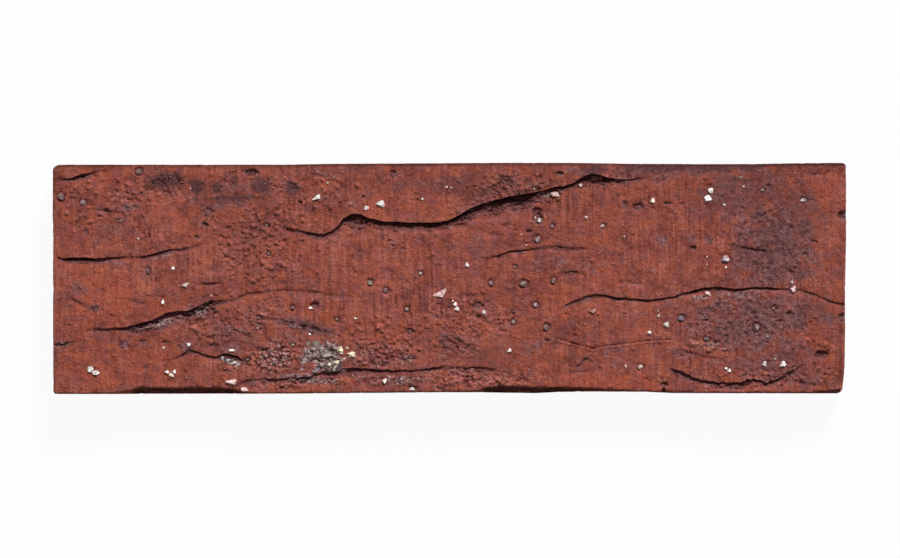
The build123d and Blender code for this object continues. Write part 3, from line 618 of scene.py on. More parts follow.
def press_pit(x, y, radius_x, radius_y, depth, ragged=0.25):
    """One pit, or with a depth below nothing one pimple."""
    i = patch(x, y, 1.8 * max(radius_x, radius_y))
    out = np.hypot((X[i] - x) / radius_x, (Y[i] - y) / radius_y) + ragged * grain[i]
    slant = 0.7 + 0.3 * np.clip((Y[i] - y) / radius_y, -1, 1) if depth > 0 else 1
    Z[i] -= depth * slant * (1 - soft_step(0.7, 1.1, out))


print("points near the middle of the face:", len(patch(0, 0, 1.0)))

# %% Press the pits and the moats
for x, y, radius_x, radius_y, depth in pits:
    press_pit(x, y, radius_x, radius_y, depth)
    i = patch(x, y, 2 * radius_x)
    out = np.hypot((X[i] - x) / radius_x, (Y[i] - y) / radius_y)
    stain = 0.3 + radius_x / 2 * (1 - soft_step(0.6, 1.1, out)) - 0.3 * (out > 1.1)
    masks["soot"][i] = np.maximum(masks["soot"][i], stain)
for _, _, x, y, size_x, size_y in pebbles:
    i = patch(x, y, size_x + size_y)
    out = np.hypot((X[i] - x) / size_x, (Y[i] - y) / size_y) * 2 + 0.2 * grain[i]
    Z[i] -= MOAT_DEPTH * (1 - soft_step(1.0, 1.4, out))
    # The ring round each pebble is painted shade, carried by the burn mask.
    masks["burn_and_shade"][i] = np.maximum(masks["burn_and_shade"][i], 0.28 * (1 - soft_step(1.0, 1.4, out)))
print("the soot mask now covers", round(100 * float((masks["soot"] > 0.5).mean()), 1), "% of the points")

# %% Scatter the dents, pores and pimples
for x, y, half_x, half_y, count in stipple_patches:
    for number in range(count if fine else count // 3):
        place = place_in_oval(x, y, half_x, half_y)
        size, height = draw.uniform(0.35, 0.7), draw.choice((-0.32, -0.2, 0.3))
        press_pit(*place, size * 1.1, size, height)
pore_x = draw.uniform(-half_length + 2, half_length - 2, pore_count + pimple_count)
pore_y = draw.uniform(-half_width + 2, half_width - 2, pore_count + pimple_count)
pore_size = 0.26 + 0.4 * draw.random(pore_count + pimple_count) ** 3
for number, (x, y, size) in enumerate(zip(pore_x, pore_y, pore_size)):
    sign = 1 if number < pore_count else -0.7
    press_pit(x, y, size * 1.15, size * 0.9, sign * (0.12 + 0.4 * size))
print("pores are", pore_size.min().round(2), "to", pore_size.max().round(2), "mm in radius")

# %% Draw the scratches
scratches = (
    ((33, -18.5), (38, -20), (43, -21.3), (50, -20.2), (60, -19), (66, -18.7)),
    ((88, 15.4), (95, 19), (101, 22)),
    ((-93, 18.5), (-91, 13), (-90, 9.5)),
)
for line in scratches:
    for (x0, y0), (x1, y1) in zip(line, line[1:]):
        length = math.hypot(x1 - x0, y1 - y0)
        run = np.clip(((X - x0) * (x1 - x0) + (Y - y0) * (y1 - y0)) / length ** 2, 0, 1)
        side = ((Y - y0) * (x1 - x0) - (X - x0) * (y1 - y0)) / length
        gap = np.hypot(X - x0 - run * (x1 - x0), Y - y0 - run * (y1 - y0))
        near = (gap < 0.9) & on_face
        furrow = 0.30 * np.exp(-((side - 0.1) / 0.25) ** 2)
        burr = 0.16 * np.exp(-((side + 0.35) / 0.2) ** 2)
        Z[near] -= (furrow - burr)[near]
print("scratches:", len(scratches))

# %% [markdown]
# ## Edges, torn arrises and sides
# The arris is rubbed round, and along two long stretches of the lower side and at the right
# end it has broken away. The sides keep a light nap from the cutting. A bevel would round the
# arris evenly, so its height is worked out from the distance to the side, and its radius
# wavers. Every push goes inwards, so the slip stays in the box of the measured model.
# The torn side is a list of places along it: x, how far in the tear reaches and its depth.

# %% Round the arris and break its torn stretches
ARRIS = 0.6
lower_tears = (
    (-108, 0.6, 0.5), (-104, 0.5, 0.5), (-99, 0.7, 0.6), (-96, 1.4, 1.6), (-93.5, 2.3, 3.0),
    (-88, 2.1, 3.0), (-82, 2.0, 2.8), (-77, 2.3, 3.2), (-72, 2.2, 3.2), (-67, 1.8, 2.6), (-63.5, 1.2, 1.6),
    (-61, 0.3, 0.4), (-40, 0.2, 0.3), (-5, 0.2, 0.3), (6, 0.5, 0.6), (9, 0.9, 1.2), (12, 1.9, 2.6),
    (16, 2.5, 3.4), (24, 2.2, 3.2), (31, 1.9, 2.9), (37, 1.5, 2.2), (44, 1.2, 1.5), (50, 0.8, 0.9),
    (56, 0.3, 0.4), (63.5, 0.4, 0.5), (64.8, 1.8, 2.2), (66, 0.4, 0.5), (108, 0.4, 0.5), (113, 1.0, 1.2),
    (118, 1.5, 1.6),
)
tear_x, tear_inset, tear_depth = np.array(lower_tears).T
inset = np.interp(X, tear_x, tear_inset, left=0.2, right=0.3) + 0.22 * noise(X / 2.4, X * 0, 61)
torn_depth = np.interp(X, tear_x, tear_depth, left=0.2, right=0.4)
end_limit, top_limit, bottom_limit = side_limits(X, Y)
from_bottom = np.clip(Y - bottom_limit, 0, None)
torn = 1 - soft_step(0.75, 1.0, from_bottom / np.clip(inset, 0.15, None))
torn = torn * (1 - 0.35 * np.clip(from_bottom / 2, 0, 1))
end_strip = soft_step(-34, -31, Y) * (1 - soft_step(-17, -12, Y)) * (1 - soft_step(1.6, 2.2, end_limit - X))
from_left = X + half_length
radius = ARRIS * (1 + 0.35 * noise(X / 6.0, Y / 6.0, 62)) * (0.5 + 0.5 * soft_step(1, 4, from_left))
inner = np.clip(radius - edge, 0, None)
rounded = radius - np.sqrt(np.clip(radius ** 2 - inner ** 2, 0, None))
Z -= np.maximum(rounded, torn * torn_depth * (1 + 0.2 * noise(X / 1.6, Y / 0.8, 63)))
Z -= 0.7 * end_strip * (X > 0)
print("the deepest tear is", torn_depth.max().round(2), "mm deep")

# %% Burn the edges and the sides, and paint shade under the torn stretches
shallow = 1 - soft_step(0.05, 0.45, share_down + 0.2 * noise(X / 5.0, level / 4.0 + Y / 5.0, 65))
# Along deep tears the burn mask paints the shade under the broken arris.
masks["burn_and_shade"] = np.maximum(masks["burn_and_shade"], 0.9 * shallow * torn * np.clip((torn_depth - 0.8) / 1.5, 0, 1))
masks["burn_and_shade"] = np.maximum(masks["burn_and_shade"], 0.35 * end_strip * (X > 0))
patchy = np.clip(0.7 + 0.5 * noise(X / 14.0, Y / 14.0, 64), 0, 1)
arris_burn = 0.3 * patchy * (1 - soft_step(0.1, 0.7, edge)) * soft_step(0.8, 3, from_left)
top_burn = (0.45 * patchy + 0.55) * (1 - soft_step(0.2, 1.5, top_limit - Y))
side_burn = 0.5 * share_down * np.clip(octaves(X + Y, level * 2.0, 26.0, 66) + 0.2, 0, 1)
masks["burn_and_shade"] = np.maximum(masks["burn_and_shade"], np.maximum(shallow * np.maximum(arris_burn, top_burn), side_burn))
print("the sides are burnt by", masks["burn_and_shade"][~on_face].mean().round(2), "on average")

# %% Roughen the sides and put the points back
nap = 0.02 + 0.04 * octaves(X + Y, level * 1.4 + 50, 6.0, 70)
nap += 0.04 * octaves(X + Y, level * 1.2, 1.2, 75, count=2)
nicks = 0.3 * np.clip(noise(X / 2.2, Y / 2.2, 79) - 0.4, 0, 1)
push = (np.clip(nap, 0, 0.4) + nicks) * (1 - soft_step(0, 1.6, edge))
beyond_x = soft_step(0, 3, abs(X) - half_length + 4)
beyond_y = soft_step(0, 3, abs(Y) - half_width + 4)
Z = np.minimum(Z, stand - 0.02)
final_x = X - np.sign(X) * push * beyond_x
final_y = Y + shift_y * on_face - np.sign(Y) * push * beyond_y
final_z = np.where(on_face, Z, Z * (1 - share_down))
final_z = np.where(share_down > 0.99, 0, np.clip(final_z, 0, stand))
slip.data.vertices.foreach_set("co", np.column_stack((final_x, final_y, final_z)).ravel() * MM)
slip.data.update()
pick(slip)
bpy.ops.object.mode_set(mode="EDIT")
bpy.ops.mesh.select_all(action="SELECT")
bpy.ops.mesh.quads_convert_to_tris(quad_method="SHORTEST_DIAGONAL")
bpy.ops.object.mode_set(mode="OBJECT")
print("face runs from", final_z[on_face].min().round(2), "to", final_z[on_face].max().round(2), "mm")

# %% Write the masks into the mesh
relief = np.where(on_face & (edge > 1.0), Z - broad, 0)
# The hollow mask paints shade into the low spots of the relief, and the crest mask marks its high spots.
masks["hollow_shade"] = np.clip(-relief / 0.7 - 0.15, 0, 1)
masks["crest"] = np.clip(relief / 0.3 - 0.2, 0, 1)
for name, values in masks.items():
    slip.data.attributes.new(name, "FLOAT", "POINT").data.foreach_set("value", values)
print("masks in the mesh:", ", ".join(masks))

# %% [markdown]
# ## Keys in the back
# The back of an extruded slip has dovetail grooves, which the mortar keys into. One groove is
# a cube whose upper side is widened in edit mode. An array copies it, and a Boolean cuts all
# six. The face has more faces than a library part should, so a Decimate modifier then merges
# those that hardly bend, and leaves the lips and pits sharp.

# %% Apply a modifier, and keep a piece in the box
def apply_modifier(piece, kind, **settings):
    """Adds a modifier, sets it and applies it."""
    pick(piece)
    modifier = piece.modifiers.new(kind.lower(), kind)
    for name, value in settings.items():
        setattr(modifier, name, value)
    bpy.ops.object.modifier_apply(modifier=modifier.name)


def keep_in_box(piece):
    """Moves any point that is outside the measured box back onto it."""
    places = np.empty(len(piece.data.vertices) * 3)
    piece.data.vertices.foreach_get("co", places)
    places = np.clip(places.reshape(-1, 3), list(box_low), np.array(box_high) - 0.01 * MM)
    piece.data.vertices.foreach_set("co", places.ravel())
    piece.data.update()


print("the box is", [round((high - low) / MM, 2) for low, high in zip(box_low, box_high)], "mm")

# %% Make one groove's cutter and copy it
GROOVE_COUNT, GROOVE_PITCH, GROOVE_DEPTH, GROOVE_MOUTH, GROOVE_ROOT = 6, 10.0, 1.3, 3.6, 4.6

deselect()
bpy.ops.mesh.primitive_cube_add(size=1)
keys = bpy.context.object
keys.name = "groove_cutters"
keys.scale = (2.2 * half_length * MM, GROOVE_MOUTH * MM, 2 * GROOVE_DEPTH * MM)
keys.location = (0, -(GROOVE_COUNT - 1) / 2 * GROOVE_PITCH * MM, 0)
finish_place(keys)
bpy.ops.object.mode_set(mode="EDIT")
bpy.ops.mesh.select_all(action="DESELECT")
bpy.ops.object.mode_set(mode="OBJECT")
for vertex in keys.data.vertices:
    vertex.select = vertex.co.z > 0
bpy.ops.object.mode_set(mode="EDIT")
bpy.ops.transform.resize(value=(1, 2 * GROOVE_ROOT / GROOVE_MOUTH - 1, 1))
bpy.ops.object.mode_set(mode="OBJECT")
apply_modifier(keys, "ARRAY", count=GROOVE_COUNT, use_relative_offset=False, use_constant_offset=True,
               constant_offset_displace=(0, GROOVE_PITCH * MM, 0))
print("groove cutters span", round(keys.dimensions.y / MM, 1), "mm")

# %% Cut the grooves and thin the mesh
MOST_TRIANGLES = 186000

apply_modifier(slip, "BOOLEAN", object=keys, operation="DIFFERENCE", solver="MANIFOLD")
bpy.data.objects.remove(keys)
slip.data.calc_loop_triangles()
before = len(slip.data.loop_triangles)
apply_modifier(slip, "DECIMATE", ratio=min(1.0, MOST_TRIANGLES / before))
slip.data.calc_loop_triangles()
keep_in_box(slip)
print("triangles before and after thinning:", before, len(slip.data.loop_triangles))

# %% [markdown]
# ## Shader maths as sums
# A procedural material is a long sum: this noise plus that mask, times a number. Linking each
# Math node by hand hides the sum, so a small class wraps a socket and adds the node when two
# sockets are added or multiplied. Everything else comes from one method, which takes a node's
# type, its settings and then the values or links of its sockets.

# %% A socket that can be added and multiplied
class Wire:
    """A node's output. Sums and products of wires and numbers add Math nodes."""

    def __init__(self, recipe, socket):
        self.recipe, self.socket = recipe, socket

    def maths(self, operation, *values):
        return self.recipe.node("ShaderNodeMath", {"operation": operation}, *values)

    def __add__(self, other):
        return self.maths("ADD", self, other)

    def __sub__(self, other):
        return self.maths("SUBTRACT", self, other)

    def __rsub__(self, other):
        return self.maths("SUBTRACT", other, self)

    def __mul__(self, other):
        return self.maths("MULTIPLY", self, other)

    def most(self, other):
        return self.maths("MAXIMUM", self, other)

    def step(self, start, end):
        """0 below start and 1 above end, soft between them."""
        settings = {"interpolation_type": "SMOOTHSTEP"}
        return self.recipe.node("ShaderNodeMapRange", settings, self, start, end)

    __radd__ = __add__
    __rmul__ = __mul__


print("what a wire can do:", [name.strip("_") for name, made in vars(Wire).items() if callable(made)])

# %% A recipe that holds the nodes of a finish
class Recipe:
    """The nodes of one material or world, built from named steps."""

    def __init__(self, owner):
        owner.use_nodes = True
        self.owner, self.tree, self.place = owner, owner.node_tree, None
        self.tree.nodes.clear()

    def node(self, kind, settings, *values, output=0, **named):
        """Adds a node and returns one of its outputs. Values fill the sockets in use, in order."""
        node = self.tree.nodes.new(kind)
        for name, value in settings.items():
            setattr(node, name, value)
        sockets = [socket for socket in node.inputs if socket.enabled]
        named_pairs = [(node.inputs[name.replace("_", " ")], value) for name, value in named.items()]
        for socket, value in list(zip(sockets, values)) + named_pairs:
            if isinstance(value, Wire):
                self.tree.links.new(value.socket, socket)
            else:
                socket.default_value = value
        outputs = [socket for socket in node.outputs if socket.enabled]
        if isinstance(output, str):
            return Wire(self, node.outputs[output])
        return Wire(self, outputs[output] if outputs else None)

    def mask(self, name):
        return self.node("ShaderNodeAttribute", {"attribute_name": name}, output="Fac")

    def grain(self, size, detail=2.0, seed=0.0, stretch=(1, 1, 1)):
        """Noise with hills of about size mm, longer where stretch is over 1. Its middle is 0.5."""
        if self.place is None:
            metres = self.node("ShaderNodeTexCoord", {}, output="Object")
            self.place = self.node("ShaderNodeVectorMath", {"operation": "SCALE"}, metres, Scale=1 / MM)
        scale = tuple(1 / (size * part) for part in stretch)
        place = self.node("ShaderNodeMapping", {}, self.place, Location=(seed, seed, seed), Scale=scale)
        return self.node("ShaderNodeTexNoise", {}, place, Scale=1.0, Detail=detail, output="Fac")

    def blend(self, factor, first, second):
        """Goes from the first colour to the second as the factor goes from 0 to 1."""
        return self.node("ShaderNodeMix", {"data_type": "RGBA"}, factor, first, second)

    def finish(self, colour, roughness, height, distance=1.0, **constants):
        """Ends the recipe with the shader, its bump in mm and its output."""
        bump = self.node("ShaderNodeBump", {}, Height=height, Distance=distance * MM, Strength=1.0)
        shader = self.node("ShaderNodeBsdfPrincipled", {}, Base_Color=colour, Roughness=roughness,
                           Normal=bump, **constants)
        self.node("ShaderNodeOutputMaterial", {}, shader)
        return self.owner


print("what a recipe can do:", [name.strip("_") for name, made in vars(Recipe).items() if callable(made)])

# %% Colours as they look on a screen
def paint(red, green, blue):
    """A colour as it is read off a picture, 0 to 255, turned into the light values a shader needs."""
    parts = [value / 255 for value in (red, green, blue)]
    return tuple(p / 12.92 if p <= 0.04045 else ((p + 0.055) / 1.055) ** 2.4 for p in parts) + (1.0,)


print("a mid red-brown in light values:", [round(p, 3) for p in paint(133, 73, 65)])

# %% [markdown]
# ## The finish: fired clay
# The clay is matt and red-brown, clouded with maroon and russet. Where the fire met it first
# it is orange, where smoke lay on it it is purple-grey, and inside the folds it is burnt, with
# painted shade under each lip that takes it nearly black. Low spots get painted shade, and ash
# and slag get pale specks that are partly painted glints. A picture wrapped over it would
# stretch at the lips, so the colour is mixed from noise, and the masks in the mesh say where
# each stain and each painted shade lies. Fine noise breaks every border, because no stain on
# clay ends in a smooth line.

# %% Noises and masks for the clay
clay = Recipe(bpy.data.materials.new("fired_clay"))
cloud = clay.grain(24, detail=3, seed=3)
mottle = clay.grain(4.5, detail=4, seed=11)
crumb = clay.grain(1.3, detail=3, seed=21)
dust = clay.grain(0.5, detail=2, seed=31)
streak = clay.grain(1.0, detail=3, seed=41, stretch=(1, 15, 15))
hair = clay.grain(0.42, detail=2, seed=51, stretch=(1, 20, 20))
drag_mask, soot_mask = clay.mask("drag"), clay.mask("soot")
burn_and_shade_mask, orange_mask = clay.mask("burn_and_shade"), clay.mask("orange")
rubble_mask, slag_mask = clay.mask("rubble"), clay.mask("slag")
hollow_shade_mask, crest_mask, pale_mask = clay.mask("hollow_shade"), clay.mask("crest"), clay.mask("pale")
print("nodes so far:", len(clay.tree.nodes))

# %% Mix the red clay
MAROON, BRICK, RUSSET = paint(98, 48, 43), paint(162, 88, 75), paint(154, 76, 58)
FIRED_ORANGE, PALE_SKIN, PLUM = paint(160, 78, 58), paint(176, 106, 92), paint(120, 72, 74)
RUST, HAIR_RED = paint(160, 82, 54), paint(98, 40, 33)

tone = cloud * 0.7 + mottle * 1.0 + crumb * 1.0 + (streak - 0.5) * drag_mask * 1.25
colour = clay.blend(tone.step(0.85, 1.85), MAROON, BRICK)
warm = clay.grain(13, detail=4, seed=8)
colour = clay.blend(warm.step(0.48, 0.66) * 0.5, colour, RUSSET)
fired = orange_mask * (mottle * 1.4 + crumb * 0.8 - 0.25)
colour = clay.blend(fired.step(0.1, 0.9) * 0.75, colour, FIRED_ORANGE)
film = (mottle * 0.7 + streak * 0.7 + dust * 0.6 + pale_mask * 0.25).step(0.98, 1.3)
film = film * drag_mask.most(pale_mask)
colour = clay.blend(film * 0.55, colour, PALE_SKIN)
tinge = clay.grain(3.2, detail=4, seed=71)
colour = clay.blend(tinge.step(0.5, 0.64) * 0.4, colour, PLUM)
colour = clay.blend((1 - tinge.step(0.36, 0.5)) * 0.4, colour, RUST)
hairline = (1 - hair.step(0.34, 0.48)) * drag_mask
colour = clay.blend(hairline * 0.6, colour, HAIR_RED)
print("nodes so far:", len(clay.tree.nodes))

# %% Add the rubble, the smoke, and the ash with painted glints
GRAVEL_DARK, GRAVEL_PALE, ASH_AND_GLINT = paint(84, 40, 42), paint(180, 126, 122), paint(158, 124, 118)
SMOKE_DARK, SMOKE_PALE = paint(76, 45, 48), paint(124, 81, 83)

gravel = clay.grain(1.0, detail=4, seed=61)
colour = clay.blend((1 - gravel.step(0.36, 0.46)) * rubble_mask * 0.55, colour, GRAVEL_DARK)
colour = clay.blend(gravel.step(0.5, 0.6) * rubble_mask * 0.7, colour, GRAVEL_PALE)
smoke = (soot_mask * 1.25 + (mottle - 0.5) * 3.0 + (crumb - 0.5) * 1.4) * soot_mask.step(0.02, 0.2)
smoke_colour = clay.blend(crumb.step(0.35, 0.65), SMOKE_DARK, SMOKE_PALE)
smoked = smoke.step(0.1, 1.35)
colour = clay.blend(smoked * 0.95, colour, smoke_colour)
# Pale specks in smoked zones: partly ash and partly painted glints.
ash_and_glint = smoked * dust.step(0.56, 0.66)
colour = clay.blend(ash_and_glint * 0.5, colour, ASH_AND_GLINT)
print("nodes so far:", len(clay.tree.nodes))

# %% Rub the crests, and add dust, painted shade in the hollows, slag with painted glints, and burn with painted shade
RUBBED, PALE_DUST, OXBLOOD = paint(172, 110, 96), paint(188, 130, 114), paint(84, 28, 22)
PAINTED_HOLLOW_SHADE, BURNT_AND_SHADED, GLASS_DARK = paint(76, 30, 26), paint(58, 27, 25), paint(78, 55, 58)
GLASS_PALE_AND_GLINT = paint(168, 149, 147)

colour = clay.blend(crest_mask * crumb.step(0.4, 0.7) * 0.45, colour, RUBBED)
colour = clay.blend(dust.step(0.6, 0.72) * 0.45, colour, PALE_DUST)
colour = clay.blend((1 - dust.step(0.29, 0.38)) * 0.6, colour, OXBLOOD)
# Painted shade: the low spots of the relief are painted darker.
colour = clay.blend(hollow_shade_mask * 0.4, colour, PAINTED_HOLLOW_SHADE)
# Slag is glassy grey; its pale grains are partly its own colour and partly painted glints.
glass = (slag_mask * 1.3 + (crumb - 0.5) * 0.8) * slag_mask.step(0.1, 0.3)
glass_and_glint_colour = clay.blend(gravel.step(0.38, 0.6), GLASS_DARK, GLASS_PALE_AND_GLINT)
colour = clay.blend(glass.step(0.35, 0.8) * 0.9, colour, glass_and_glint_colour)
# Burn stains and the painted shade under fold lips, around pebbles and along tears darken the clay towards
# black.
burnt_and_shaded = burn_and_shade_mask * (crumb * 1.2 + dust * 1.2 - 0.2)
colour = clay.blend(burnt_and_shaded.step(0.05, 1.05), colour, BURNT_AND_SHADED)
print("nodes so far:", len(clay.tree.nodes))

# %% Roughness and bump, and the clay is put on
roughness = 0.85 - glass.step(0.4, 0.9) * 0.25 + (dust - 0.5) * 0.15
height = dust * 0.25 + crumb * 0.3 + (streak * 0.35 + hair * 0.08) * drag_mask + rubble_mask * gravel * 0.5
fired_clay = clay.finish(colour, roughness, height, Specular_IOR_Level=0.12)
slip.data.materials.clear()
slip.data.materials.append(fired_clay)
pick(slip)
bpy.ops.object.shade_smooth_by_angle(angle=math.radians(55))
print("nodes in the clay:", len(clay.tree.nodes))

# %% [markdown]
# ## Grit
# Crushed brick, quartz and slag stand out of the face. A chip is a ball cut flat on several
# sides, so we bisect an icosphere by listed planes. Four masters are enough: each
# copy gets its own size, turn and tint, sinks a little into the face below it, and all copies
# are joined. A pebble is rounder, with a few small faces knocked off.

# %% Cut the master stones
def cut_stone(name, cuts, squash):
    """An icosphere cut flat where each plane, given by its normal and distance, passes."""
    deselect()
    bpy.ops.mesh.primitive_ico_sphere_add(subdivisions=3, radius=1)
    stone = bpy.context.object
    stone.name = name
    bpy.ops.object.mode_set(mode="EDIT")
    for normal, distance in cuts:
        bpy.ops.mesh.select_all(action="SELECT")
        normal = Vector(normal).normalized()
        bpy.ops.mesh.bisect(plane_co=normal * distance, plane_no=normal, use_fill=True, clear_outer=True)
    bpy.ops.mesh.select_all(action="SELECT")
    bpy.ops.mesh.normals_make_consistent(inside=False)
    bpy.ops.object.mode_set(mode="OBJECT")
    bpy.ops.object.origin_set(type="ORIGIN_GEOMETRY", center="BOUNDS")
    stone.location = (0, 0, 0)
    stone.scale = (2 / stone.dimensions.x, 2 / stone.dimensions.y, 2 * squash / stone.dimensions.z)
    finish_place(stone)
    apply_modifier(stone, "BEVEL", width=0.09, segments=1, limit_method="ANGLE",
                   angle_limit=math.radians(25))
    apply_modifier(stone, "DECIMATE", ratio=0.35)
    return stone


sharp_cuts = (((0.2, 0.1, 1), 0.5), ((1, 0.3, 0.3), 0.5), ((-0.8, 0.7, 0.3), 0.56),
              ((-0.4, -1, 0.3), 0.52), ((0.7, -0.8, 0.2), 0.64), ((0.1, 1, 0.4), 0.62))
wedge_cuts = (((0.5, 0.2, 1), 0.42), ((-0.6, 0.5, 0.8), 0.5), ((0.1, -1, 0.3), 0.45),
              ((1, 0.5, 0.1), 0.72), ((-1, -0.2, 0.2), 0.66))
round_cuts = (((0.5, -0.4, 1), 0.76), ((-0.7, 0.5, 0.8), 0.8), ((0.2, 0.9, 0.5), 0.78),
              ((1, 0.2, 0.3), 0.76), ((-0.3, -1, 0.25), 0.78))
shard_cuts = (((1, -0.25, 0.2), 0.45), ((0, -1, 0.15), 0.35), ((-0.6, 0.8, 0.3), 0.35),
              ((0.3, 0.2, 1), 0.4), ((-0.5, 0.3, 1), 0.42))
masters = {
    "shard": cut_stone("shard", shard_cuts, 0.6),
    "chip": cut_stone("chip", sharp_cuts, 0.8),
    "wedge": cut_stone("wedge", wedge_cuts, 0.6),
    "pebble": cut_stone("pebble", round_cuts, 1.0),
}
print("faces in each master:", {name: len(stone.data.polygons) for name, stone in masters.items()})

# %% Heights and tints of the stones, and a tinted copy
TALLNESS = {"chip": 0.4, "wedge": 0.42, "pebble": 0.34, "shard": 0.42}
TINTS = {
    "white": (250, 245, 240), "cream": (240, 230, 200), "yellow": (232, 214, 150),
    "pink": (222, 180, 176), "grey": (150, 120, 122), "stone": (126, 93, 92), "lilac": (200, 184, 192),
    "brown": (128, 78, 68), "blue": (118, 104, 116), "olive": (146, 134, 118), "dark": (50, 34, 33),
    "dusty": (200, 180, 172), "rose": (170, 108, 98), "pearl": (214, 208, 210),
}


def copy_master(kind, tint, light, shading_rim):
    """A copy of a master with a mesh of its own, which carries its tint and how far out a point is, for the
    painted highlight and shade.
    """
    stone = masters[kind].copy()
    stone.data = masters[kind].data.copy()
    bpy.context.collection.objects.link(stone)
    shade = stone.data.attributes.new("tint", "FLOAT_COLOR", "POINT")
    colour = [light * part for part in paint(*TINTS[tint])]
    shade.data.foreach_set("color", colour * len(stone.data.vertices))
    outwards = [shading_rim * math.hypot(vertex.co.x, vertex.co.y) for vertex in stone.data.vertices]
    stone.data.attributes.new("shading_rim", "FLOAT", "POINT").data.foreach_set("value", outwards)
    return stone


print("kinds of stone:", ", ".join(TALLNESS), "and tints:", len(TINTS))

# %% How stones are set into the face
LEAN, SPIN = 0.2, 0.4
DARKEST, LIGHTEST = 0.8, 1.15


def face_below(x, y):
    """Height in mm of the slip's face at a place."""
    found, place, _, _ = slip.ray_cast((x * MM, y * MM, 0.1), (0, 0, -1))
    return place.z / MM if found else THICKNESS


def set_stones(name, stones, sink, seed, grow=1.0, shading_rim=1.0, turn=0.0):
    """Places copies of the masters, each grown and turned a little, and joins them into one piece."""
    draw = np.random.default_rng(seed)
    copies = []
    for kind, tint, x, y, size_x, size_y in stones:
        size_x, size_y = grow * size_x, grow * size_y
        stone = copy_master(kind, tint, draw.uniform(DARKEST, LIGHTEST), shading_rim)
        lean_x, lean_y = draw.uniform(-LEAN, LEAN), draw.uniform(-LEAN, LEAN)
        spin = turn + draw.uniform(-SPIN, SPIN)
        if size_x == size_y:
            spin = draw.uniform(0, 2 * math.pi)
        tall = TALLNESS[kind] * (size_x + size_y) / 2
        shape = Matrix.Diagonal((size_x / 2 * MM, size_y / 2 * MM, tall * MM, 1))
        shape = shape @ Euler((lean_x, lean_y, spin)).to_matrix().to_4x4()
        top = max((shape @ vertex.co).z for vertex in stone.data.vertices) / MM
        level = min(face_below(x, y) - sink * tall, stand - 0.02 - top)
        stone.matrix_world = Matrix.Translation((x * MM, y * MM, level * MM)) @ shape
        copies.append(stone)
    deselect()
    for stone in copies:
        stone.select_set(True)
    bpy.context.view_layer.objects.active = copies[0]
    bpy.ops.object.join()
    joined = bpy.context.object
    joined.name = name
    finish_place(joined)
    keep_in_box(joined)
    bpy.ops.object.shade_smooth_by_angle(angle=math.radians(28))
    print(name + ":", len(stones), "stones,", len(joined.data.polygons), "faces")
    return joined


print("the face is", round(face_below(0, 0), 2), "mm up in its middle")

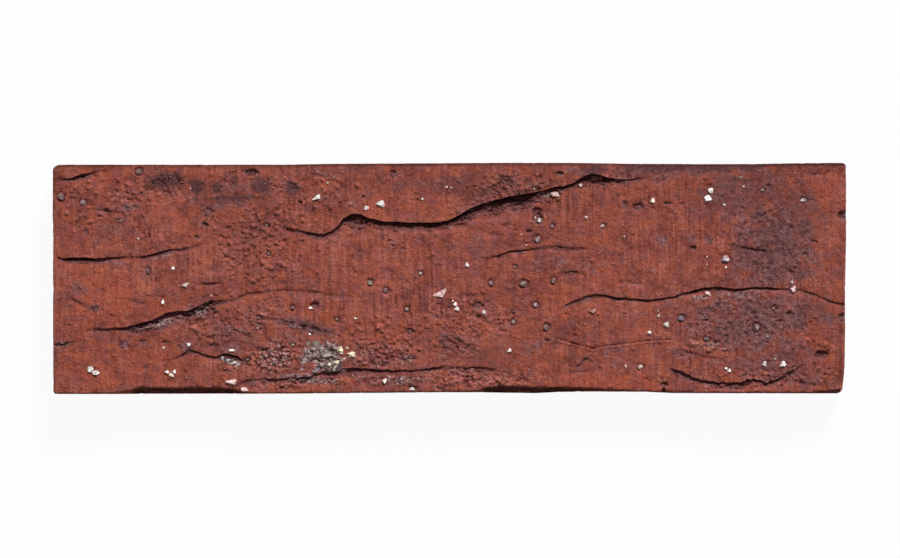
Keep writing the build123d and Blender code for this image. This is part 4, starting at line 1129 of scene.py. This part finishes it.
# %% Set the pale grit and the pebbles
pale_grit = set_stones("pale_grit", (
    ("chip", "white", -83.6, 3.1, 1.0, 1.0), ("shard", "dusty", -80, -1.8, 1.9, 1.5),
    ("chip", "white", -86.7, -7.2, 0.9, 1.3), ("chip", "dusty", -86.4, -21, 0.9, 0.9),
    ("chip", "white", -78.9, -20, 1.1, 1.1), ("wedge", "white", -108.4, -27.6, 1.9, 1.8),
    ("chip", "white", -107.0, -28.6, 1.9, 1.3), ("chip", "white", -85.4, -28.3, 1.3, 0.9),
    ("wedge", "cream", -84, -29.2, 1.4, 0.9), ("chip", "white", -83.2, -28.2, 1.0, 1.2),
    ("wedge", "white", -65.7, -21.7, 1.7, 0.7), ("shard", "pink", -65.8, -30.9, 3.2, 2.2),
    ("wedge", "pink", -61.9, -33.5, 2.1, 1.1), ("shard", "white", -40.3, 24.5, 2.2, 1.1),
    ("chip", "dusty", -36.8, 28.9, 0.7, 0.7), ("chip", "white", -25.2, 21.3, 1.4, 1.4),
    ("chip", "pearl", -20.8, 22.6, 2.9, 2.6), ("chip", "white", -8.2, 24, 0.8, 0.8),
    ("chip", "pink", -0.9, 27.6, 0.7, 0.7), ("chip", "dusty", 0.5, 27.4, 0.6, 0.6),
    ("chip", "white", 5.2, 4.1, 1.3, 1.7), ("chip", "dusty", 23.2, 10.1, 0.6, 0.6),
    ("chip", "white", 21.7, 13.4, 0.5, 0.5), ("chip", "pink", 41.4, 18.4, 1.1, 1.1),
    ("wedge", "pink", 32, 25.4, 2.2, 1.4), ("chip", "pink", 39.6, 28.2, 1.2, 1.2),
    ("chip", "cream", 61.4, 23.5, 1.4, 1.6), ("chip", "white", 79, 26.5, 1.6, 1.6),
    ("wedge", "white", 78.2, 24.2, 1.9, 1.8), ("chip", "dusty", 82.9, 22.3, 1.1, 0.6),
    ("chip", "dusty", 52.8, 12.7, 0.6, 0.6), ("chip", "dusty", 77.8, 6.6, 0.5, 0.7),
    ("chip", "dusty", 77.8, 4.2, 0.4, 0.6), ("chip", "cream", 83.5, 3.3, 0.8, 0.6),
    ("shard", "pink", -3.0, -4.3, 3.4, 2.6), ("chip", "white", 1.0, -6.8, 0.6, 0.6),
    ("chip", "white", 1.7, -7.8, 1.2, 1.3), ("chip", "white", 2.2, -9.2, 1.4, 1.2),
    ("chip", "white", 10.4, -10.2, 1.2, 1.2), ("chip", "white", 18.2, -21.8, 1.4, 0.9),
    ("shard", "rose", 43.2, -9.5, 2.5, 1.5), ("chip", "white", 65.6, -13.9, 1.5, 1.9),
    ("chip", "white", 60.5, -16.3, 1.1, 1.1), ("chip", "dusty", 63.2, -11.3, 0.7, 0.8),
    ("chip", "dusty", 63.0, -9.8, 0.5, 0.6), ("wedge", "pink", 78.2, -4.6, 2.0, 0.8),
    ("chip", "pink", 103.9, -3.2, 1.4, 2.2), ("chip", "dusty", 103.5, -1.1, 0.8, 1.0),
    ("chip", "cream", 53.3, -26.5, 0.5, 0.9), ("chip", "white", 83.6, -27.2, 0.9, 0.8),
    ("chip", "white", 84.6, -27.9, 0.9, 1.1), ("chip", "white", 95.3, -25.9, 1.1, 1.5),
    ("chip", "white", 100.8, -26, 1.9, 1.6), ("chip", "dusty", 98.4, -24.3, 0.7, 0.6),
    ("wedge", "white", -42.0, -8.9, 1.2, 0.7), ("chip", "white", -42.3, -16.9, 0.7, 0.7),
    ("chip", "white", -28.5, -12.0, 0.7, 0.7), ("chip", "yellow", -33.0, -21.5, 1.8, 2.3),
    ("chip", "white", -32.7, -22.5, 1.0, 0.9), ("chip", "cream", -29.6, -22.9, 2.3, 1.6),
    ("chip", "cream", -34.0, -25.4, 1.5, 1.1), ("chip", "cream", -36.4, -26.0, 1.2, 0.9),
    ("chip", "white", -19.6, -31, 1.1, 1.5), ("chip", "white", -11.3, -33.4, 1.4, 0.9),
    ("chip", "dusty", 88.9, 27.8, 0.7, 0.7), ("chip", "white", -31.0, -21.0, 0.7, 0.7),
    ("chip", "white", -58.0, -15.0, 0.5, 0.5), ("chip", "dusty", -72.0, -5.2, 0.6, 0.6),
    ("chip", "dusty", -94.0, 12.0, 0.6, 0.6),
), sink=-0.25, seed=5, grow=1.2, shading_rim=0.4)
pebble_grit = set_stones("pebbles", pebbles + (
    ("chip", "white", 27.1, 17.5, 1.6, 1.9), ("chip", "pink", 25.9, 18.4, 1.1, 1.0),
    ("wedge", "grey", 96.3, -17.3, 2.2, 1.6), ("wedge", "olive", 88.0, 30.5, 1.2, 0.9),
), sink=-0.1, seed=6, grow=0.92, shading_rim=0.85)

# %% [markdown]
# ### Slag
# Low on the left a lump of slag melted into the face: a heap of thin grey-green shards with a
# dark glassy clot below it. It could be sculpted, but thin wedges that overlap look flaked as
# it does. The larger ones are listed one by one, and a seeded draw scatters the rest in an oval.

# %% Set the slag
SHARD_COUNT = 14
SLAG_OVAL = (-39.0, -24.4, 8.0, 4.2)
draw = np.random.default_rng(9)


def draw_tint(**shares):
    """One of the tints, each as likely as its share says."""
    return list(shares)[draw.choice(len(shares), p=list(shares.values()))]


shards = [
    ("wedge", "olive", -39.9, -20.6, 6.4, 2.6), ("pebble", "dark", -34.4, -27.0, 5.4, 3.2),
    ("wedge", "blue", -33.0, -26.0, 2.0, 0.8), ("wedge", "blue", -35.6, -28.0, 1.6, 0.6),
    ("wedge", "grey", -43.5, -21.6, 3.1, 1.2), ("wedge", "olive", -37.3, -23.0, 4.2, 2.6),
    ("wedge", "stone", -40.8, -23.2, 3.2, 1.6), ("chip", "olive", -34.6, -25.3, 3.0, 1.9),
    ("chip", "dark", -33.6, -27.4, 3.4, 1.7), ("chip", "dark", -36.6, -27.8, 2.6, 1.4),
    ("wedge", "blue", -39.9, -27.7, 4.0, 1.6), ("wedge", "grey", -44.6, -27.4, 2.2, 1.3),
    ("chip", "olive", -47.4, -20.0, 1.5, 1.4), ("wedge", "olive", -42.6, -19.6, 2.6, 1.0),
    ("wedge", "stone", -37.6, -25.4, 3.4, 1.8), ("wedge", "pearl", -67.0, -24.6, 2.6, 1.0),
    ("wedge", "white", -65.2, -25.4, 2.2, 0.9), ("wedge", "pearl", -68.6, -24.0, 1.6, 0.8),
    ("chip", "dark", -44.2, -30.8, 2.6, 0.9), ("wedge", "brown", -13.4, -23.6, 2.0, 1.0),
    ("chip", "grey", -14.5, -30.4, 1.8, 1.2), ("wedge", "dusty", -50.2, -23.6, 1.4, 0.9),
    ("wedge", "dusty", -48.4, -25.6, 1.3, 0.8), ("wedge", "grey", -49.4, -30.2, 2.0, 0.9),
]
for number in range(SHARD_COUNT):
    x, y = place_in_oval(*SLAG_OVAL)
    tint = draw_tint(olive=0.2, grey=0.15, stone=0.3, dark=0.3, dusty=0.05)
    size = draw.uniform(0.6, 1.5)
    shards.append(("wedge", tint, x, y, size, size * 0.6))
slag = set_stones("slag_shards", shards, sink=0.2, seed=8, shading_rim=0.7, turn=0.4)

# %% [markdown]
# ### Crumbs
# Loose crumbs lie thickly where the face is torn to rubble, and a few are scattered over all
# of it. The same draw goes on, and each oval of the rubble mask gets crumbs by its area.

# %% Scatter the crumbs
CRUMB_SHARE, SPECK_COUNT = 0.5, 260
EDGE_GAP = 1.5

crumb_places = []
for x, y, half_x, half_y, strength, *_ in patches["rubble"]:
    for number in range(round(half_x * half_y * strength * CRUMB_SHARE)):
        place = place_in_oval(x, y, half_x, half_y)
        tint = draw_tint(pink=0.05, rose=0.3, stone=0.2, brown=0.25, dark=0.15, grey=0.05)
        size = draw.uniform(0.4, 1.0)
        crumb_places.append(("chip", tint, *place, size, size * 0.8))
for number in range(SPECK_COUNT):
    x, y = draw.uniform(-half_length + 2, half_length - 2), draw.uniform(-half_width + 2, half_width - 2)
    tint = draw_tint(rose=0.3, stone=0.2, brown=0.3, dark=0.17, dusty=0.03)
    size = draw.uniform(0.35, 0.7)
    crumb_places.append(("chip", tint, x, y, size, size * 0.8))
crumb_places = [crumb for crumb in crumb_places if edge_distance(*np.array(crumb[2:4])) > EDGE_GAP]
loose = set_stones("crumbs", crumb_places, sink=0.15, seed=10)
for stone in masters.values():
    bpy.data.objects.remove(stone)

# %% [markdown]
# ### The finish of the stones
# All stones share one recipe. Each copy carries its own tint in the mesh, and noise clouds it
# with red dust and roughens it, so that no two look cut from one sheet. The middle of each stone
# is painted pale as a highlight and its rim painted dark as shade.

# %% Mix the stone finish
PAINTED_HIGHLIGHT, RED_DUST = paint(236, 226, 222), paint(104, 66, 60)
SAND_BROWN, PAINTED_RIM_SHADE = paint(84, 60, 56), paint(62, 32, 29)

grit = Recipe(bpy.data.materials.new("grit"))
tint = grit.node("ShaderNodeAttribute", {"attribute_name": "tint"}, output="Color")
cloudy, sandy = grit.grain(0.9, detail=3, seed=5), grit.grain(0.25, detail=2, seed=15)
shading_rim = grit.mask("shading_rim")
# Painted highlight: the middle of each stone is paler.
middle = 1 - (shading_rim + cloudy * 1.4 - 0.7).step(0.05, 0.35)
stone_colour = grit.blend(middle * 0.6, tint, PAINTED_HIGHLIGHT)
stone_colour = grit.blend(cloudy.step(0.48, 0.62) * 0.55, stone_colour, RED_DUST)
stone_colour = grit.blend((1 - sandy.step(0.3, 0.42)) * 0.3, stone_colour, SAND_BROWN)
# Painted shade: each stone is darker towards its rim.
stone_colour = grit.blend((shading_rim + cloudy * 0.6).step(0.7, 1.25) * 0.75, stone_colour, PAINTED_RIM_SHADE)
roughness = 0.25 + sandy * 0.3
height = sandy * 0.08 + cloudy * 0.2
stone_finish = grit.finish(stone_colour, roughness, height, Specular_IOR_Level=0.4)
print("nodes in the grit:", len(grit.tree.nodes))

# %% [markdown]
# ## What the pieces belong to
# The measured model has one body, and all pieces move with it. The dressed slip takes the
# place of the plain one.

# %% Put the finish on and tie the pieces to the body
for piece in (pale_grit, pebble_grit, slag, loose):
    piece.data.materials.clear()
    piece.data.materials.append(stone_finish)
    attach(piece, "root")
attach(slip, "root")
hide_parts("brick_slip")

# %% [markdown]
# ## Floor, light and camera
# The slip lies face up on a white floor, and the camera looks straight down from far away, as
# in a catalogue picture. One lamp stands beyond the upper side and shines along the face, so
# that each lip shades the floor of its fold. A large weak lamp overhead and a pale world fill
# the shadows. To the camera the floor is nearly its own light, so that it stays white, but
# the rest of it still takes the slip's shadow.

# %% Lay the floor
FLOOR_SIZE, FLOOR_DROP = 6.0, 0.0001

deselect()
bpy.ops.mesh.primitive_plane_add(size=FLOOR_SIZE, location=(0, 0, -FLOOR_DROP))
floor = bpy.context.object
floor.name = "floor"
finish_place(floor)
print("the floor is", round(floor.dimensions.x, 1), "m wide")

# %% Make the floor look white and keep the shadow
FLOOR_GLOW = 0.94
PAPER_WHITE, PAPER_GREY = paint(236, 236, 236), paint(228, 228, 228)


def seen_directly(recipe):
    """1 for rays that show this surface itself: from the camera, a mirror or through glass."""
    light_path = recipe.node("ShaderNodeLightPath", {}, output="Is Camera Ray")
    path = light_path.socket.node
    mirror = Wire(recipe, path.outputs["Is Glossy Ray"])
    glass = Wire(recipe, path.outputs["Is Transmission Ray"])
    return light_path.most(mirror).most(glass)


paper = Recipe(bpy.data.materials.new("white_floor"))
speckle = paper.grain(3.0, detail=2, seed=2)
paper_colour = paper.blend(speckle * 0.1, PAPER_WHITE, PAPER_GREY)
matt = paper.node("ShaderNodeBsdfDiffuse", {}, paper_colour)
glow = paper.node("ShaderNodeEmission", {}, (1, 1, 1, 1), 1.0)
shown = paper.node("ShaderNodeMixShader", {}, seen_directly(paper) * FLOOR_GLOW, matt, glow)
paper.node("ShaderNodeOutputMaterial", {}, shown)
floor.data.materials.append(paper.owner)
print("nodes in the floor:", len(paper.tree.nodes))

# %% A pale world
WORLD_LEVEL = 0.14

world = bpy.data.worlds.new("studio")
bpy.context.scene.world = world
sky = Recipe(world)
strength = seen_directly(sky) * (1 - WORLD_LEVEL) + WORLD_LEVEL
sky.node("ShaderNodeOutputWorld", {}, sky.node("ShaderNodeBackground", {}, (1, 1, 1, 1), strength))
print("nodes in the world:", len(sky.tree.nodes))

# %% Two lamps
KEY_PLACE, KEY_SIZE, KEY_POWER = (0.8, 2.48, 2.0), 0.96, 147.0
FILL_PLACE, FILL_SIZE, FILL_POWER = (-0.1, -0.2, 1.5), 1.4, 2.6


def add_lamp(name, place, size, power):
    """A square lamp that points at the slip."""
    deselect()
    bpy.ops.object.light_add(type="AREA", location=place)
    lamp = bpy.context.object
    lamp.name = name
    lamp.data.size = size
    lamp.data.energy = power
    lamp.rotation_euler = (-Vector(place)).to_track_quat("-Z", "Y").to_euler()


add_lamp("key", KEY_PLACE, KEY_SIZE, KEY_POWER)
add_lamp("fill", FILL_PLACE, FILL_SIZE, FILL_POWER)
print("the key lamp stands", round(Vector(KEY_PLACE).length, 2), "m away")

# %% The camera
CAMERA_HEIGHT, PICTURE_WIDTH = 1.6, 272.0
PICTURE_CENTRE = (0.15, -0.15)
SENSOR = 36.0

deselect()
camera_place = (PICTURE_CENTRE[0] * MM, PICTURE_CENTRE[1] * MM, CAMERA_HEIGHT)
bpy.ops.object.camera_add(location=camera_place, rotation=(0, 0, 0))
camera = bpy.context.object
camera.data.sensor_width = SENSOR
camera.data.lens = SENSOR * (CAMERA_HEIGHT - THICKNESS * MM) / (PICTURE_WIDTH * MM)
bpy.context.scene.camera = camera
bpy.context.scene.view_settings.view_transform = "Standard"
print("lens:", round(camera.data.lens), "mm")

# %% [markdown]
# ## The box
# The dressed slip has to stay inside the measured model's box, and keep_in_box above holds
# the slip and its stones in it.
